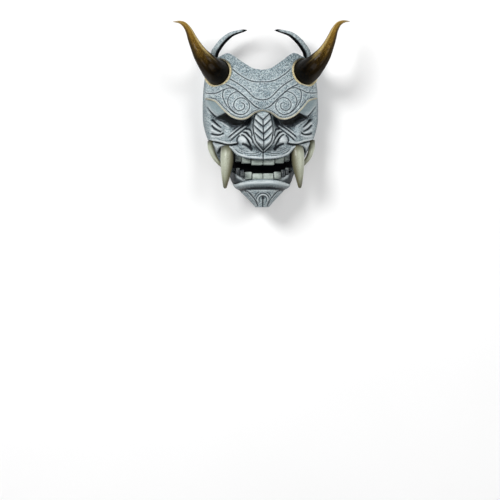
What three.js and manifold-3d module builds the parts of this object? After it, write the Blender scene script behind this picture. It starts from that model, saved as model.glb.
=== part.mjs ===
// A horned demon face mask of cast latex, lying on its back edge with the face up.
// Millimetres, +Z out of the face, +Y to the top of the head, +X to the mask's own left.
// Each carved line is drawn on the right half of a flat map of the face and mirrored.

import * as THREE from 'three';
import { mergeGeometries, mergeVertices } from 'three/addons/utils/BufferGeometryUtils.js';
import Module from 'manifold-3d';

const wasm = await Module();
wasm.setup();

// Driving sizes of the cast skin
const WALL = 3.2;
const GAP = 0.3;
const ARCH_POWER = 2.35;
const BELOW = -8;
const ABOVE = 1.6;
const FACE_TOP = 100;
const FACE_BOTTOM = -145;
const MOUTH_DEPTH_LEVEL = 57;
const JAW_INSET = 7;

// Height on the face, half width and crown height of the arch that crosses it there
const ARCHES = [
  [-145, 13, 60], [-129.5, 27, 70], [-112.5, 44, 74.5], [-95.5, 57.5, 77], [-69, 69, 79],
  [-42.5, 81.5, 80], [-16.5, 89.5, 79.5], [5.5, 91, 79], [36.5, 90, 73.5], [67.5, 86, 60],
  [87.5, 81.5, 46], [100, 78, 34],
];

// Back rim seen from the side: height on the face, then how far the rim has risen
const RIM = [[-30, 0], [-60, 8], [-85, 18], [-105, 27], [-125, 34], [-150, 42]];

// Top edge of the forehead, from the middle of the scoop to the side
const SCOOP = [
  [0, 67.5], [13, 70], [23, 76], [32.5, 83], [42, 90.5], [51, 96], [59, 94], [66.5, 90], [80.5, 87.5],
];

// Edges that stand out as steps
const BROW_EDGE = [
  [0, 5.5], [11.5, 1.5], [23, -6.5], [29.5, -8.5], [36.5, -8], [45.5, -4.5], [52.5, 1],
  [65, 14.5], [72, 20.5], [85, 24], [100, 25],
];
const EYE = [
  [23, -8.5], [26.5, -13], [31, -17.5], [39, -19], [46.5, -18], [52.5, -14], [59, -10], [65, -8],
  [72, -4.5], [65, -1], [56, 6], [44, -3], [33, -6],
];
const NOSE_LEAF = [[0, 7], [9, 1], [13, -8.5], [15, -25.5], [12.5, -42], [8.5, -49], [0, -57.5]];
const MOUTH = [
  [0, -72], [23, -71], [33.5, -70], [43.5, -62], [48, -57], [53.5, -52.5], [60, -50.2], [66.5, -53],
  [70, -61], [75, -49], [79, -42.5], [100, -40], [100, -112], [62, -112], [52, -104.8], [42.5, -109.2],
  [34, -107], [25, -104.5], [15.5, -103], [0, -102.5],
];
const FLANGE = [[90, -38], [82, -40.5], [67.5, -44.5], [59, -47.5], [51, -49], [38, -47.5]];
const LOWER_LIP = [[0, -106.5], [15.5, -107.5], [31, -110], [42, -112], [52, -112]];
const LIP_HOLLOW = [[0, -114.5], [18.5, -115], [34, -117], [44, -117]];

// Engraved lines: points, half width and depth
const ENGRAVED = [
  [[[0, 50], [12.5, 50.5], [31, 59], [45.5, 71.5], [52.5, 77.5]], 1.1, 1.1],
  [[[0, 21.5], [10, 23.5], [23, 35.5], [38, 48], [53.5, 58]], 1.1, 1.1],
  [[[2, 7.5], [11.5, 11.5], [26.5, 26], [42, 39], [57.5, 47.5]], 1.2, 1.3],
  [
    [[43.5, 39.5], [51, 41], [57.5, 39], [61, 33.5], [60.5, 25.5], [52.5, 10], [43.5, 1.5], [36, -0.5]],
    1.1, 1.1,
  ],
  [[[86, 34.5], [77.5, 32], [70, 32], [63.5, 35], [57.5, 39]], 1.1, 1.1],
  [[[83, 10], [77.5, 0.5], [72, -5.5]], 1.7, 1.7],
  [[[24, -20.2], [40, -32.2], [52, -43]], 1.5, 1.8],
  [[[81.5, -8], [73, -14], [62, -23]], 1.8, 1.8],
  [[[79, -17], [72, -23.5], [62, -30]], 1.8, 1.8],
  [[[78.5, -30], [69, -33], [58.5, -29.5]], 1.8, 1.8],
  [[[84, -40], [67.5, -44.5], [57, -48.3], [38, -47.5]], 1.3, 1.7],
  [[[36, -38], [33, -35], [29, -35.8], [24, -41.5], [18.5, -51.5]], 1.5, 2.4],
  [[[31, -29.5], [25.5, -31], [21, -36.5], [16.5, -47]], 1.5, 2.2],
  [[[31, -49.5], [26.5, -50.8], [21.5, -53.5], [16, -57.5]], 2.3, 5],
  [[[33, -119.5], [21, -125], [11, -143]], 1.2, 1.3],
];
const CHIN_RINGS = { y: -133, radii: [4.5, 11.5], halfWidth: 1.1, depth: 1.2 };
const SPIRAL = { x: 34.5, y: 12.5, turns: 2.25, inner: 1.8, outer: 14.2, end: -95, halfWidth: 1.1, depth: 1.1 };
const CHEVRONS = { first: -11, pitch: 11.25, count: 5, rise: 0.82, reach: 14, halfWidth: 1.1, depth: 1.5 };

// Teeth: inner and outer edge, then lower and upper end; the rows meet the gums
const UPPER_TEETH = [[0.5, 17.2, -81, -70], [17.8, 33.8, -77.5, -68.5], [34.4, 42.5, -74, -65]];
const LOWER_TEETH = [[0.5, 16.2, -104, -93], [16.8, 28.8, -103.5, -90], [29.4, 38.2, -101, -85.5]];
const TOOTH = { upper: 80, lower: 76, sag: 0.006, thick: 15, bevel: 1.1 };
const GUM = [[0, -104.5, 64], [18, -104, 63], [33, -101, 60], [44, -97.5, 48]];
const GUM_THICKNESS = 6;

// Horns and tusks: centre line with the diameter at each point
const HORN = [
  [65, 63, 44, 41], [74, 67.5, 62, 37.5], [83.5, 76, 76, 31.5], [94, 88.5, 82, 24.5], [101.5, 101.5, 82, 18.5],
  [107.5, 114.5, 78, 14.5], [112.5, 127, 73, 11], [119, 137, 68, 8.2], [127, 141.5, 65, 4.6], [137, 142, 64, 0.8],
];
const SMALL_HORN = [
  [76, 80, 22, 15], [73.5, 89, 27, 13], [71.5, 97.5, 31, 12.4], [66.5, 105.5, 34, 11.6], [60, 113.5, 36, 10.8],
  [53, 120, 37, 9.8], [45.5, 125, 38, 8], [37, 128, 38, 6.2], [27, 130.5, 38, 4.3], [21.5, 131, 38, 0.8],
];
const FRONT_TUSK = [
  [54, -53.5, 55.5, 20], [54.2, -61, 59, 21], [55, -72, 61.5, 20.2], [56, -85, 62, 17.2], [57.2, -100, 60, 11.8],
  [58, -115.5, 56, 3],
];
const REAR_TUSK = [
  [79.5, -41.5, 24, 9.4], [79, -51, 29, 9.6], [76.5, -59.5, 36, 9], [73, -67.5, 41, 8], [68, -74.5, 45, 6.6],
  [63, -80.5, 47, 4.4], [59, -84.5, 48, 0.8],
];
const HORN_SEAT = { centre: [65, 63, 44], axis: [0.47, 0.23, 0.85], outer: 23.6, top: 6.5, foot: -9 };

// Colours and finish
const SKIN = { color: 0x98a3a6, roughness: 0.62, metalness: 0 };
const HORN_FINISH = { color: 0x6b5226, roughness: 0.3, metalness: 0 };
const TUSK_FINISH = { color: 0xaaa995, roughness: 0.35, metalness: 0 };

// Small helpers

const clamp = (value, low, high) => Math.min(Math.max(value, low), high);
const mirrored = (points) => points.map(([x, ...rest]) => [-x, ...rest]);
const bell = (distance, width) => Math.exp(-((distance / width) ** 2));

function ease(start, end, value) {
  const t = clamp((value - start) / (end - start), 0, 1);
  return t * t * (3 - 2 * t);
}

function smoothLine(points, steps) {
  const curve = new THREE.SplineCurve(points.map(([x, y]) => new THREE.Vector2(x, y)));
  return curve.getPoints(steps).map(({ x, y }) => [x, y]);
}

function bothHalves(line) {
  return [...mirrored(line).reverse(), ...line.slice(line[0][0] === 0 ? 1 : 0)];
}

// Distance to a line of points, negative on its right-hand side
function signedDistance(line, x, y) {
  let best = Infinity;
  let side = 1;
  for (let i = 1; i < line.length; i += 1) {
    const [ax, ay] = line[i - 1];
    const [bx, by] = line[i];
    const dx = bx - ax;
    const dy = by - ay;
    const t = clamp(((x - ax) * dx + (y - ay) * dy) / (dx * dx + dy * dy), 0, 1);
    const distance = Math.hypot(x - ax - t * dx, y - ay - t * dy);
    if (distance < best - 1e-9) {
      best = distance;
      side = dx * (y - ay) - dy * (x - ax) >= 0 ? 1 : -1;
    }
  }
  return best * side;
}

// The arch that carries the face

const archCurve = new THREE.CatmullRomCurve3(ARCHES.map((row) => new THREE.Vector3(...row)), false, 'catmullrom', 0.5);
const archRows = archCurve.getPoints(88);

function archAt(y) {
  const found = archRows.findIndex((row) => row.x > y);
  const next = found < 0 ? archRows.length - 1 : Math.max(found, 1);
  const [a, b] = [archRows[next - 1], archRows[next]];
  const t = clamp((y - a.x) / (b.x - a.x), 0, 1);
  return { half: a.y + (b.y - a.y) * t, crown: a.z + (b.z - a.z) * t };
}

function archHeight(x, { half, crown }) {
  const across = Math.min(Math.abs(x) / half, 1);
  return crown * (1 - across ** ARCH_POWER) ** (1 / ARCH_POWER);
}

// Where a point of the flat map lies, raised by some height: forward in front, outward at the sides
function place(x, y, raised) {
  const arch = archAt(y);
  const across = Math.min(Math.abs(x) / arch.half, 1);
  const z = archHeight(x, arch);
  const slope = new THREE.Vector2(
    (Math.sign(x) * across ** (ARCH_POWER - 1)) / arch.half,
    (z / arch.crown) ** (ARCH_POWER - 1) / arch.crown,
  ).normalize();
  const out = new THREE.Vector2(0, 1).lerp(slope, ease(0.7, 1, across)).normalize();
  return new THREE.Vector3(x + out.x * raised, y, z + out.y * raised);
}

// Relief of the face, as heights over the arch

const browEdge = smoothLine(BROW_EDGE, 60);
const browTop = smoothLine(ENGRAVED[2][0], 24);
const flangeLine = smoothLine(FLANGE, 30);
const lowerLip = smoothLine(LOWER_LIP, 20);
const lipHollow = smoothLine(LIP_HOLLOW, 16);
const eyeLine = [...EYE, EYE[0]];
const leafLine = smoothLine(NOSE_LEAF, 30);

const sideFade = (x, y) => 1 - ease(0.88, 1, Math.abs(x) / archAt(y).half);

function noseRelief(x, y) {
  const bulge = y < -50 ? 1 - ease(50, 61, -y) : 1;
  const rise = (3 + 25 * clamp((4 - y) / 54, 0, 1) ** 1.25) * bulge * (1 - ease(-4, 9, y));
  return rise * ease(-11, 2.5, -signedDistance(leafLine, Math.abs(x), y));
}

function nostrilRelief(x, y) {
  const wing = 10 * bell(Math.hypot((x - 22) / 13, (y + 42) / 11), 1) * ease(-57, -51, y);
  const ball = Math.sqrt(clamp(1 - ((x - 31) / 8.5) ** 2 - ((y + 43) / 8) ** 2, 0, 1));
  return wing + 6.5 * ball;
}

function eyeRelief(x, y) {
  const socket = bell(signedDistance(eyeLine, x, y), 9);
  const lid = bell(Math.hypot((x - 69) / 11, (y - 6) / 8), 1);
  const innerCorner = bell(Math.hypot((x - 22) / 8, (y + 14) / 12), 1);
  return -11 * socket + 5.5 * lid - 4 * innerCorner;
}

function cheekRelief(x, y) {
  const above = -signedDistance(flangeLine, x, y);
  const mound = 5.5 * bell(Math.hypot((x - 56) / 20, (y + 31) / 14), 1);
  const step = above > 0 ? 2.6 * Math.exp(-above / 6) : -2.2 * Math.exp(above / 2.5) * ease(-60, -50, y);
  return mound + step * ease(34, 44, x);
}

function muzzleRelief(x, y) {
  return 9 * Math.exp(-((x / 42) ** 4)) * (1 - ease(-58, -40, y)) * ease(-103, -75, y);
}

function jawRelief(x, y) {
  const roll = 6.5 * bell(signedDistance(lowerLip, x, y), 3.6);
  return roll - 4 * bell(signedDistance(lipHollow, x, y), 3.4);
}

function faceRelief(xSigned, y) {
  const x = Math.abs(xSigned);
  const forms = [noseRelief, nostrilRelief, eyeRelief, cheekRelief, muzzleRelief, jawRelief];
  return sideFade(x, y) * forms.reduce((sum, form) => sum + form(x, y), 0);
}

function browRelief(xSigned, y) {
  const x = Math.abs(xSigned);
  const above = Math.max(signedDistance(browEdge, x, y), 0);
  const inPad = -signedDistance(browTop, x, y);
  const swell = 2 + 5 * Math.exp(-above / 16) * ease(-6, 6, inPad) + 1.6 * ease(0, 14, inPad);
  return sideFade(x, y) * (swell - 2.2 * Math.exp(-above / 1.6));
}

// Closed solids

// Turns a closed geometry into a solid with its faces out
function solid(geometry) {
  const bare = geometry.clone();
  bare.deleteAttribute('normal');
  bare.deleteAttribute('uv');
  const merged = mergeVertices(bare, 1e-4);
  const corners = merged.attributes.position.array;
  const triangles = merged.index.array;
  const volume = triangles.reduce((sum, _, i) => {
    if (i % 3) return sum;
    const [a, b, c] = [0, 1, 2].map((k) => new THREE.Vector3().fromArray(corners, 3 * triangles[i + k]));
    return sum + a.dot(b.cross(c));
  }, 0);
  const facing = volume > 0 ? triangles : triangles.slice().reverse();
  const mesh = { numProp: 3, vertProperties: Float32Array.from(corners), triVerts: Uint32Array.from(facing) };
  return new wasm.Manifold(new wasm.Mesh(mesh));
}

function geometryOf(part) {
  const { vertProperties, triVerts } = part.getMesh();
  const geometry = new THREE.BufferGeometry();
  geometry.setAttribute('position', new THREE.BufferAttribute(Float32Array.from(vertProperties), 3));
  geometry.setIndex(new THREE.BufferAttribute(Uint32Array.from(triVerts), 1));
  geometry.computeVertexNormals();
  return geometry;
}

function geometryFrom(points, triangles) {
  const geometry = new THREE.BufferGeometry();
  geometry.setAttribute('position', new THREE.Float32BufferAttribute(points.flatMap((p) => p.toArray()), 3));
  geometry.setIndex(triangles.flat());
  return geometry;
}

// Splits a square patch into right-angled triangles, smaller where the surface bends more
function adaptivePatch(surface, power, tolerance) {
  const size = 2 ** power;
  const row = size + 1;
  const points = [];
  for (let j = 0; j < row; j += 1) {
    for (let i = 0; i < row; i += 1) points.push(surface(i / size, j / size));
  }
  const errors = new Float32Array(row * row);
  const middle = (a, b) => [(a[0] + b[0]) / 2, (a[1] + b[1]) / 2];
  const index = ([i, j]) => j * row + i;
  const sag = (a, b, c) => {
    const [p, q, r, m] = [a, b, c, middle(a, b)].map((spot) => points[index(spot)]);
    const normal = q.clone().sub(p).cross(r.clone().sub(p)).normalize();
    return Math.abs(m.clone().sub(p).dot(normal));
  };
  const roots = [
    [[0, 0], [size, size], [size, 0]],
    [[size, size], [0, 0], [0, size]],
  ];
  const levels = [roots];
  while (levels.length < 2 * power) {
    levels.push(levels.at(-1).flatMap(([a, b, c]) => [[c, a, middle(a, b)], [b, c, middle(a, b)]]));
  }
  levels.reverse().forEach((level, depth) => {
    level.forEach(([a, b, c]) => {
      const kids = depth ? [errors[index(middle(a, c))], errors[index(middle(b, c))]] : [];
      const here = index(middle(a, b));
      errors[here] = Math.max(errors[here], sag(a, b, c), ...kids);
    });
  });
  const triangles = [];
  const split = (a, b, c) => {
    if (Math.abs(a[0] - c[0]) + Math.abs(a[1] - c[1]) > 1 && errors[index(middle(a, b))] > tolerance) {
      split(c, a, middle(a, b));
      split(b, c, middle(a, b));
    } else triangles.push([index(a), index(b), index(c)]);
  };
  roots.forEach((root) => split(...root));
  return { points, triangles };
}

// Mirrors half a surface, joins the halves and closes them down to a flat underside
function mirroredTerrain(patch) {
  const half = geometryFrom(patch.points, patch.triangles);
  const other = geometryFrom(
    patch.points.map((p) => new THREE.Vector3(-p.x, p.y, p.z)),
    patch.triangles.map(([a, b, c]) => [a, c, b]),
  );
  const whole = mergeVertices(mergeGeometries([half, other]), 1e-4);
  const corners = whole.attributes.position;
  const faces = whole.index.array;
  const edges = new Map();
  faces.forEach((a, i) => {
    const b = faces[i % 3 === 2 ? i - 2 : i + 1];
    edges.set(`${a} ${b}`, [a, b]);
  });
  const next = new Map([...edges.values()].filter(([a, b]) => !edges.has(`${b} ${a}`)));
  const loop = [next.keys().next().value];
  while (next.get(loop.at(-1)) !== loop[0]) loop.push(next.get(loop.at(-1)));
  const points = Array.from({ length: corners.count }, (_, i) => new THREE.Vector3().fromBufferAttribute(corners, i));
  const feet = loop.map((i, k) => [points.length + k, points[i]]);
  const triangles = [];
  for (let i = 0; i < faces.length; i += 3) triangles.push([faces[i], faces[i + 1], faces[i + 2]]);
  loop.forEach((a, k) => {
    const b = loop[(k + 1) % loop.length];
    const [footA, footB] = [feet[k][0], feet[(k + 1) % loop.length][0]];
    triangles.push([b, a, footA], [b, footA, footB]);
  });
  const underside = feet.map(([, p]) => new THREE.Vector3(p.x, p.y, BELOW));
  const hub = new THREE.Box3().setFromPoints(underside).getCenter(new THREE.Vector3());
  feet.forEach(([i], k) => triangles.push([i, points.length + feet.length, feet[(k + 1) % feet.length][0]]));
  return solid(geometryFrom([...points, ...underside, hub], triangles));
}

// A straight-sided block with the given outline, from one level to another
function block(outline, low, high) {
  const shape = new THREE.Shape(outline.map(([x, y]) => new THREE.Vector2(x, y)));
  const geometry = new THREE.ExtrudeGeometry(shape, { depth: high - low, bevelEnabled: false, curveSegments: 1 });
  return solid(geometry.translate(0, 0, low));
}

// Joins rings of points, each closing on itself, into one body with flat ends
function skinned(rings) {
  const sides = rings[0].length;
  const triangles = [];
  for (let i = 0; i < rings.length - 1; i += 1) {
    for (let k = 0; k < sides; k += 1) {
      const a = i * sides + k;
      const b = i * sides + ((k + 1) % sides);
      triangles.push([a, b, a + sides], [b, b + sides, a + sides]);
    }
  }
  const last = (rings.length - 1) * sides;
  for (let k = 1; k < sides - 1; k += 1) triangles.push([0, k + 1, k], [last, last + k, last + k + 1]);
  return solid(geometryFrom(rings.flat(), triangles));
}

// Keeps only the points that a line needs to stay within a tolerance of itself
function thinned(spots, tolerance) {
  const [first, last] = [spots[0], spots.at(-1)];
  const chord = new THREE.Line3(first, last);
  const strays = spots.map((spot) => chord.closestPointToPoint(spot, true, new THREE.Vector3()).distanceTo(spot));
  const worst = strays.indexOf(Math.max(...strays));
  if (strays[worst] < tolerance) return [first, last];
  return [...thinned(spots.slice(0, worst + 1), tolerance), ...thinned(spots.slice(worst), tolerance).slice(1)];
}

// Drops a flat line of points onto a surface
function draped(line, surface) {
  const down = new THREE.Vector3(0, 0, -1);
  return line.map(([x, y]) => {
    const [touched] = new THREE.Raycaster(new THREE.Vector3(x, y, 300), down).intersectObject(surface);
    return touched ? touched.point : place(x, y, 0);
  });
}

// A cutter that leaves a V-shaped line in the surface, fading at both ends
function engraver(line, halfWidth, depth, surface) {
  const spots = thinned(draped(line, surface), 0.85);
  const rings = spots.map((spot, i) => {
    const before = spots[Math.max(i - 1, 0)];
    const after = spots[Math.min(i + 1, spots.length - 1)];
    const across = new THREE.Vector3(before.y - after.y, after.x - before.x, 0).normalize();
    const out = place(spot.x, spot.y, 1).sub(place(spot.x, spot.y, 0));
    const sink = i === 0 || i === spots.length - 1 ? 0.1 * depth : depth;
    const half = (halfWidth * (sink + ABOVE)) / depth;
    return [half, -half].map((shift) => spot.clone().addScaledVector(across, shift).addScaledVector(out, ABOVE))
      .concat(spot.clone().addScaledVector(out, -sink));
  });
  return skinned(rings);
}

// A round tapering body along a bent centre line
function tapered(stations, sides, steps) {
  const centres = new THREE.CatmullRomCurve3(stations.map(([x, y, z]) => new THREE.Vector3(x, y, z)));
  const frames = centres.computeFrenetFrames(steps, false);
  const rings = centres.getSpacedPoints(steps).map((centre, i) => {
    const at = centres.getUtoTmapping(i / steps) * (stations.length - 1);
    const k = Math.min(Math.floor(at), stations.length - 2);
    const radius = THREE.MathUtils.lerp(stations[k][3], stations[k + 1][3], at - k) / 2;
    return Array.from({ length: sides }, (_, n) => {
      const angle = (2 * Math.PI * n) / sides;
      return centre.clone()
        .addScaledVector(frames.normals[i], radius * Math.cos(angle))
        .addScaledVector(frames.binormals[i], radius * Math.sin(angle));
    });
  });
  return skinned(rings);
}

const joinAll = (parts) => parts.reduce((sum, part) => sum.add(part));
const cutAll = (body, cutters) => cutters.reduce((rest, cutter) => rest.subtract(cutter), body);

// The face and forehead, both as solid blocks with the relief on top

const along = (bottom, top) => (u, v) => {
  const y = THREE.MathUtils.lerp(bottom, top, v);
  return [archAt(y).half * Math.cos((Math.PI / 2) * (1 - u)) ** (2 / ARCH_POWER), y];
};

function reliefBlock(bottom, top, relief, power, tolerance) {
  const spot = along(bottom, top);
  const surface = (u, v) => {
    const [x, y] = spot(u, v);
    return place(x, y, relief(x, y));
  };
  return mirroredTerrain(adaptivePatch(surface, power, tolerance));
}

function browBlock() {
  const edge = bothHalves(smoothLine(BROW_EDGE, 26));
  return reliefBlock(-12, FACE_TOP, browRelief, 6, 1.6).intersect(block([...edge, [100, 120], [-100, 120]], -20, 150));
}

const jawBlock = () => reliefBlock(FACE_BOTTOM, -98, faceRelief, 4, 1.1);

function faceBlock() {
  const eyes = [EYE, mirrored(EYE)].map((outline) => block(outline, -20, 150));
  return cutAll(reliefBlock(-86, 27, faceRelief, 6, 2.0), eyes);
}

// Height of the inside over the map: one wall under the lowest outside height near it
function insideHeight(x, y) {
  const ledge = ease(3, 17, signedDistance(browEdge, x, y));
  const reach = 1.3 * WALL;
  const insideForm = (px, py) => faceRelief(px, py) - nostrilRelief(Math.abs(px), py);
  const around = Array.from({ length: 8 }, (_, i) => (i * Math.PI) / 4);
  const spots = [[x, y], ...around.map((angle) => [x + reach * Math.cos(angle), y + reach * Math.sin(angle)])];
  const heights = spots.map(([px, py]) => {
    const relief = THREE.MathUtils.lerp(insideForm(px, py), browRelief(px, py), ledge);
    return place(px, py, relief).z;
  });
  return Math.min(...heights) - WALL;
}

function insideBlock() {
  const spot = along(-140, FACE_TOP + 8);
  const surface = (u, v) => {
    const [x, y] = spot(u, v);
    const inner = x * (1 - WALL / archAt(y).half);
    return new THREE.Vector3(inner, y, Math.max(insideHeight(inner, y), BELOW + 1));
  };
  return mirroredTerrain(adaptivePatch(surface, 5, 3.5));
}

// The jaw behind the open mouth: a smooth arch, one wall thick
function mouthCore(inset, level, bottom, top) {
  const surface = (u, v) => {
    const y = THREE.MathUtils.lerp(bottom, top, v);
    const half = archAt(y).half - inset;
    const angle = (Math.PI / 2) * (1 - u);
    return new THREE.Vector3(
      half * Math.cos(angle) ** (2 / ARCH_POWER), y, level * Math.sin(angle) ** (2 / ARCH_POWER),
    );
  };
  return mirroredTerrain(adaptivePatch(surface, 4, 1.2));
}

function tooth([x0, x1, y0, y1], top) {
  const middle = (x0 + x1) / 2;
  const level = top - TOOTH.sag * middle * middle;
  const ring = (inset, z) => [
    [x0 + inset, y0 + inset], [x1 - inset, y0 + inset], [x1 - inset, y1 - inset], [x0 + inset, y1 - inset],
  ].map(([x, y]) => new THREE.Vector3(x, y, z));
  return [ring(0, level - TOOTH.thick), ring(TOOTH.bevel, level)];
}

function teeth() {
  const rows = [[UPPER_TEETH, TOOTH.upper], [LOWER_TEETH, TOOTH.lower]];
  return rows.flatMap(([row, top]) => row.flatMap((size) => {
    const rings = tooth(size, top);
    return [skinned(rings), skinned(rings.map((ring) => ring.map((p) => new THREE.Vector3(-p.x, p.y, p.z))))];
  }));
}

function lowerGum() {
  const stations = [...mirrored(GUM).reverse(), ...GUM.slice(1)].map((row) => [...row, GUM_THICKNESS]);
  return tapered(stations, 5, 9);
}

const mouthOutline = bothHalves(MOUTH);

function mouthCut() {
  return block(mouthOutline, -20, 150);
}

// The hollow stops one wall short of the mouth
const HOLLOW_EDGE = [[0, -67.5], [36, -67.5], [42, -56], [50, -46], [64, -45.5], [68, -37.5], [100, -35]];

function hollow() {
  const upper = block([...bothHalves(HOLLOW_EDGE), [100, 130], [-100, 130]], -30, 150);
  const lower = block([[-100, -113.5], [-100, -160], [100, -160], [100, -113.5]], -30, 150);
  const inside = insideBlock();
  const behindMouth = mouthCore(JAW_INSET + WALL, MOUTH_DEPTH_LEVEL - WALL, -130, -30);
  return joinAll([inside.intersect(upper), inside.intersect(lower), behindMouth]);
}

function rimCut() {
  const outline = [[120, 0], ...RIM, [-160, RIM.at(-1)[1]], [-160, -40], [120, -40]];
  const shape = new THREE.Shape(outline.map(([y, z]) => new THREE.Vector2(y, z)));
  const geometry = new THREE.ExtrudeGeometry(shape, { depth: 300, bevelEnabled: false });
  geometry.translate(0, 0, -150);
  const turn = new THREE.Matrix4().makeBasis(
    new THREE.Vector3(0, 1, 0), new THREE.Vector3(0, 0, 1), new THREE.Vector3(1, 0, 0),
  );
  return solid(geometry.applyMatrix4(turn));
}

function scoopCut() {
  const edge = bothHalves(smoothLine(SCOOP, 22));
  return block([...edge, [120, 87.5], [120, 140], [-120, 140], [-120, 87.5]], -40, 150);
}

// Engraving

function spiralLine() {
  const steps = 60;
  return Array.from({ length: steps + 1 }, (_, i) => {
    const t = i / steps;
    const angle = THREE.MathUtils.degToRad(SPIRAL.end - 360 * SPIRAL.turns * (1 - t));
    const radius = THREE.MathUtils.lerp(SPIRAL.inner, SPIRAL.outer, t);
    return [SPIRAL.x + radius * Math.cos(angle), SPIRAL.y + radius * Math.sin(angle)];
  });
}

function drawnLines() {
  const lines = ENGRAVED.map(([points, ...cut]) => [smoothLine(points, 24), ...cut]);
  return [...lines, [spiralLine(), SPIRAL.halfWidth, SPIRAL.depth]].flatMap(([line, ...cut]) => {
    if (line[0][0] === 0) return [[bothHalves(line), ...cut]];
    return [[line, ...cut], [mirrored(line), ...cut]];
  });
}

function chinRings() {
  const { y, radii, halfWidth, depth } = CHIN_RINGS;
  return radii.map((radius) => {
    const angles = Array.from({ length: 25 }, (_, i) => (Math.PI * i) / 24);
    return [angles.map((angle) => [radius * Math.cos(angle), y + radius * Math.sin(angle)]), halfWidth, depth];
  });
}

function chevrons() {
  const { first, pitch, count, rise, reach, halfWidth, depth } = CHEVRONS;
  const arms = Array.from({ length: count }, (_, i) => {
    const y = first - i * pitch;
    return Array.from({ length: 17 }, (_, k) => (reach * (k - 8)) / 8).map((x) => [x, y + rise * Math.abs(x)]);
  });
  const centre = Array.from({ length: 17 }, (_, k) => [0, -8 - 3 * k]);
  return [...arms, centre].map((line) => [line, halfWidth, depth]);
}

function engrave(body) {
  const surface = new THREE.Mesh(geometryOf(body));
  const lines = [...drawnLines(), ...chinRings(), ...chevrons()];
  return cutAll(body, lines.map(([line, halfWidth, depth]) => engraver(line, halfWidth, depth, surface)));
}

// Seats of the two big horns

function seatFrame(side) {
  const axis = new THREE.Vector3(side * HORN_SEAT.axis[0], HORN_SEAT.axis[1], HORN_SEAT.axis[2]).normalize();
  const turn = new THREE.Quaternion().setFromUnitVectors(new THREE.Vector3(0, 1, 0), axis);
  const centre = new THREE.Vector3(side * HORN_SEAT.centre[0], HORN_SEAT.centre[1], HORN_SEAT.centre[2]);
  return new THREE.Matrix4().compose(centre, turn, new THREE.Vector3(1, 1, 1));
}

function lathed(profile, segments) {
  const points = profile.map(([r, h]) => new THREE.Vector2(r, h));
  return new THREE.LatheGeometry(points, segments);
}

function seatBoss(side) {
  const { outer, top, foot } = HORN_SEAT;
  const profile = [[0, foot], [outer - 4, foot], [outer, 0], [outer, top], [0, top]];
  return solid(lathed(profile, 20).applyMatrix4(seatFrame(side)));
}

// Horns and tusks, each with the room that it needs in the skin

// The room is wider all round by the gap, and starts that much further back
function roomFor(stations) {
  const [first, second] = stations.slice(0, 2).map(([x, y, z]) => new THREE.Vector3(x, y, z));
  const root = first.clone().addScaledVector(second.clone().sub(first).normalize(), -GAP);
  const rest = stations.slice(1).map(([x, y, z, width]) => [x, y, z, width + 2 * GAP]);
  return [[root.x, root.y, root.z, stations[0][3] + 2 * GAP], ...rest];
}

const PIECES = {
  horn: { stations: HORN, sides: 12, steps: 16 },
  tusk_front: { stations: FRONT_TUSK, sides: 10, steps: 7 },
  tusk_rear: { stations: REAR_TUSK, sides: 8, steps: 7 },
};

function piece({ stations, sides, steps }, side, room) {
  const own = room ? roomFor(stations) : stations;
  return tapered(side > 0 ? own : mirrored(own), sides, steps);
}

// The whole mask

function maskSkin() {
  const bothSides = (make) => [-1, 1].map(make);
  const solidFace = joinAll([faceBlock(), browBlock(), jawBlock()]);
  const opened = solidFace.subtract(mouthCut()).add(mouthCore(JAW_INSET, MOUTH_DEPTH_LEVEL, -116, -38));
  const engraved = engrave(joinAll([opened, ...teeth(), lowerGum()]));
  const trimmed = cutAll(engraved, [hollow(), scoopCut()]);
  const smallHorns = bothSides((side) => tapered(side > 0 ? SMALL_HORN : mirrored(SMALL_HORN), 6, 10));
  const horned = joinAll([trimmed, ...smallHorns, ...bothSides(seatBoss)]);
  const rooms = Object.values(PIECES).flatMap((each) => bothSides((side) => piece(each, side, true)));
  return cutAll(horned, [...rooms, rimCut()]);
}

const skinMaterial = new THREE.MeshStandardMaterial(SKIN);
const hornMaterial = new THREE.MeshStandardMaterial(HORN_FINISH);
const tuskMaterial = new THREE.MeshStandardMaterial(TUSK_FINISH);

function named(name, part, material) {
  const mesh = new THREE.Mesh(geometryOf(part), material);
  mesh.name = name;
  return mesh;
}

const mask = new THREE.Group();
mask.add(named('mask_skin', maskSkin(), skinMaterial));
Object.entries(PIECES).forEach(([name, each]) => {
  const material = name === 'horn' ? hornMaterial : tuskMaterial;
  mask.add(named(`${name}_left`, piece(each, 1, false), material));
  mask.add(named(`${name}_right`, piece(each, -1, false), material));
});
const bounds = new THREE.Box3().setFromObject(mask);
mask.position.y = -(bounds.min.y + bounds.max.y) / 2;

export default mask;
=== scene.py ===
"""A horned demon face mask of cast latex, lying face up on a pale floor."""

import math

import bmesh
import bpy
import numpy as np
from mathutils import Matrix, Vector


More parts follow.
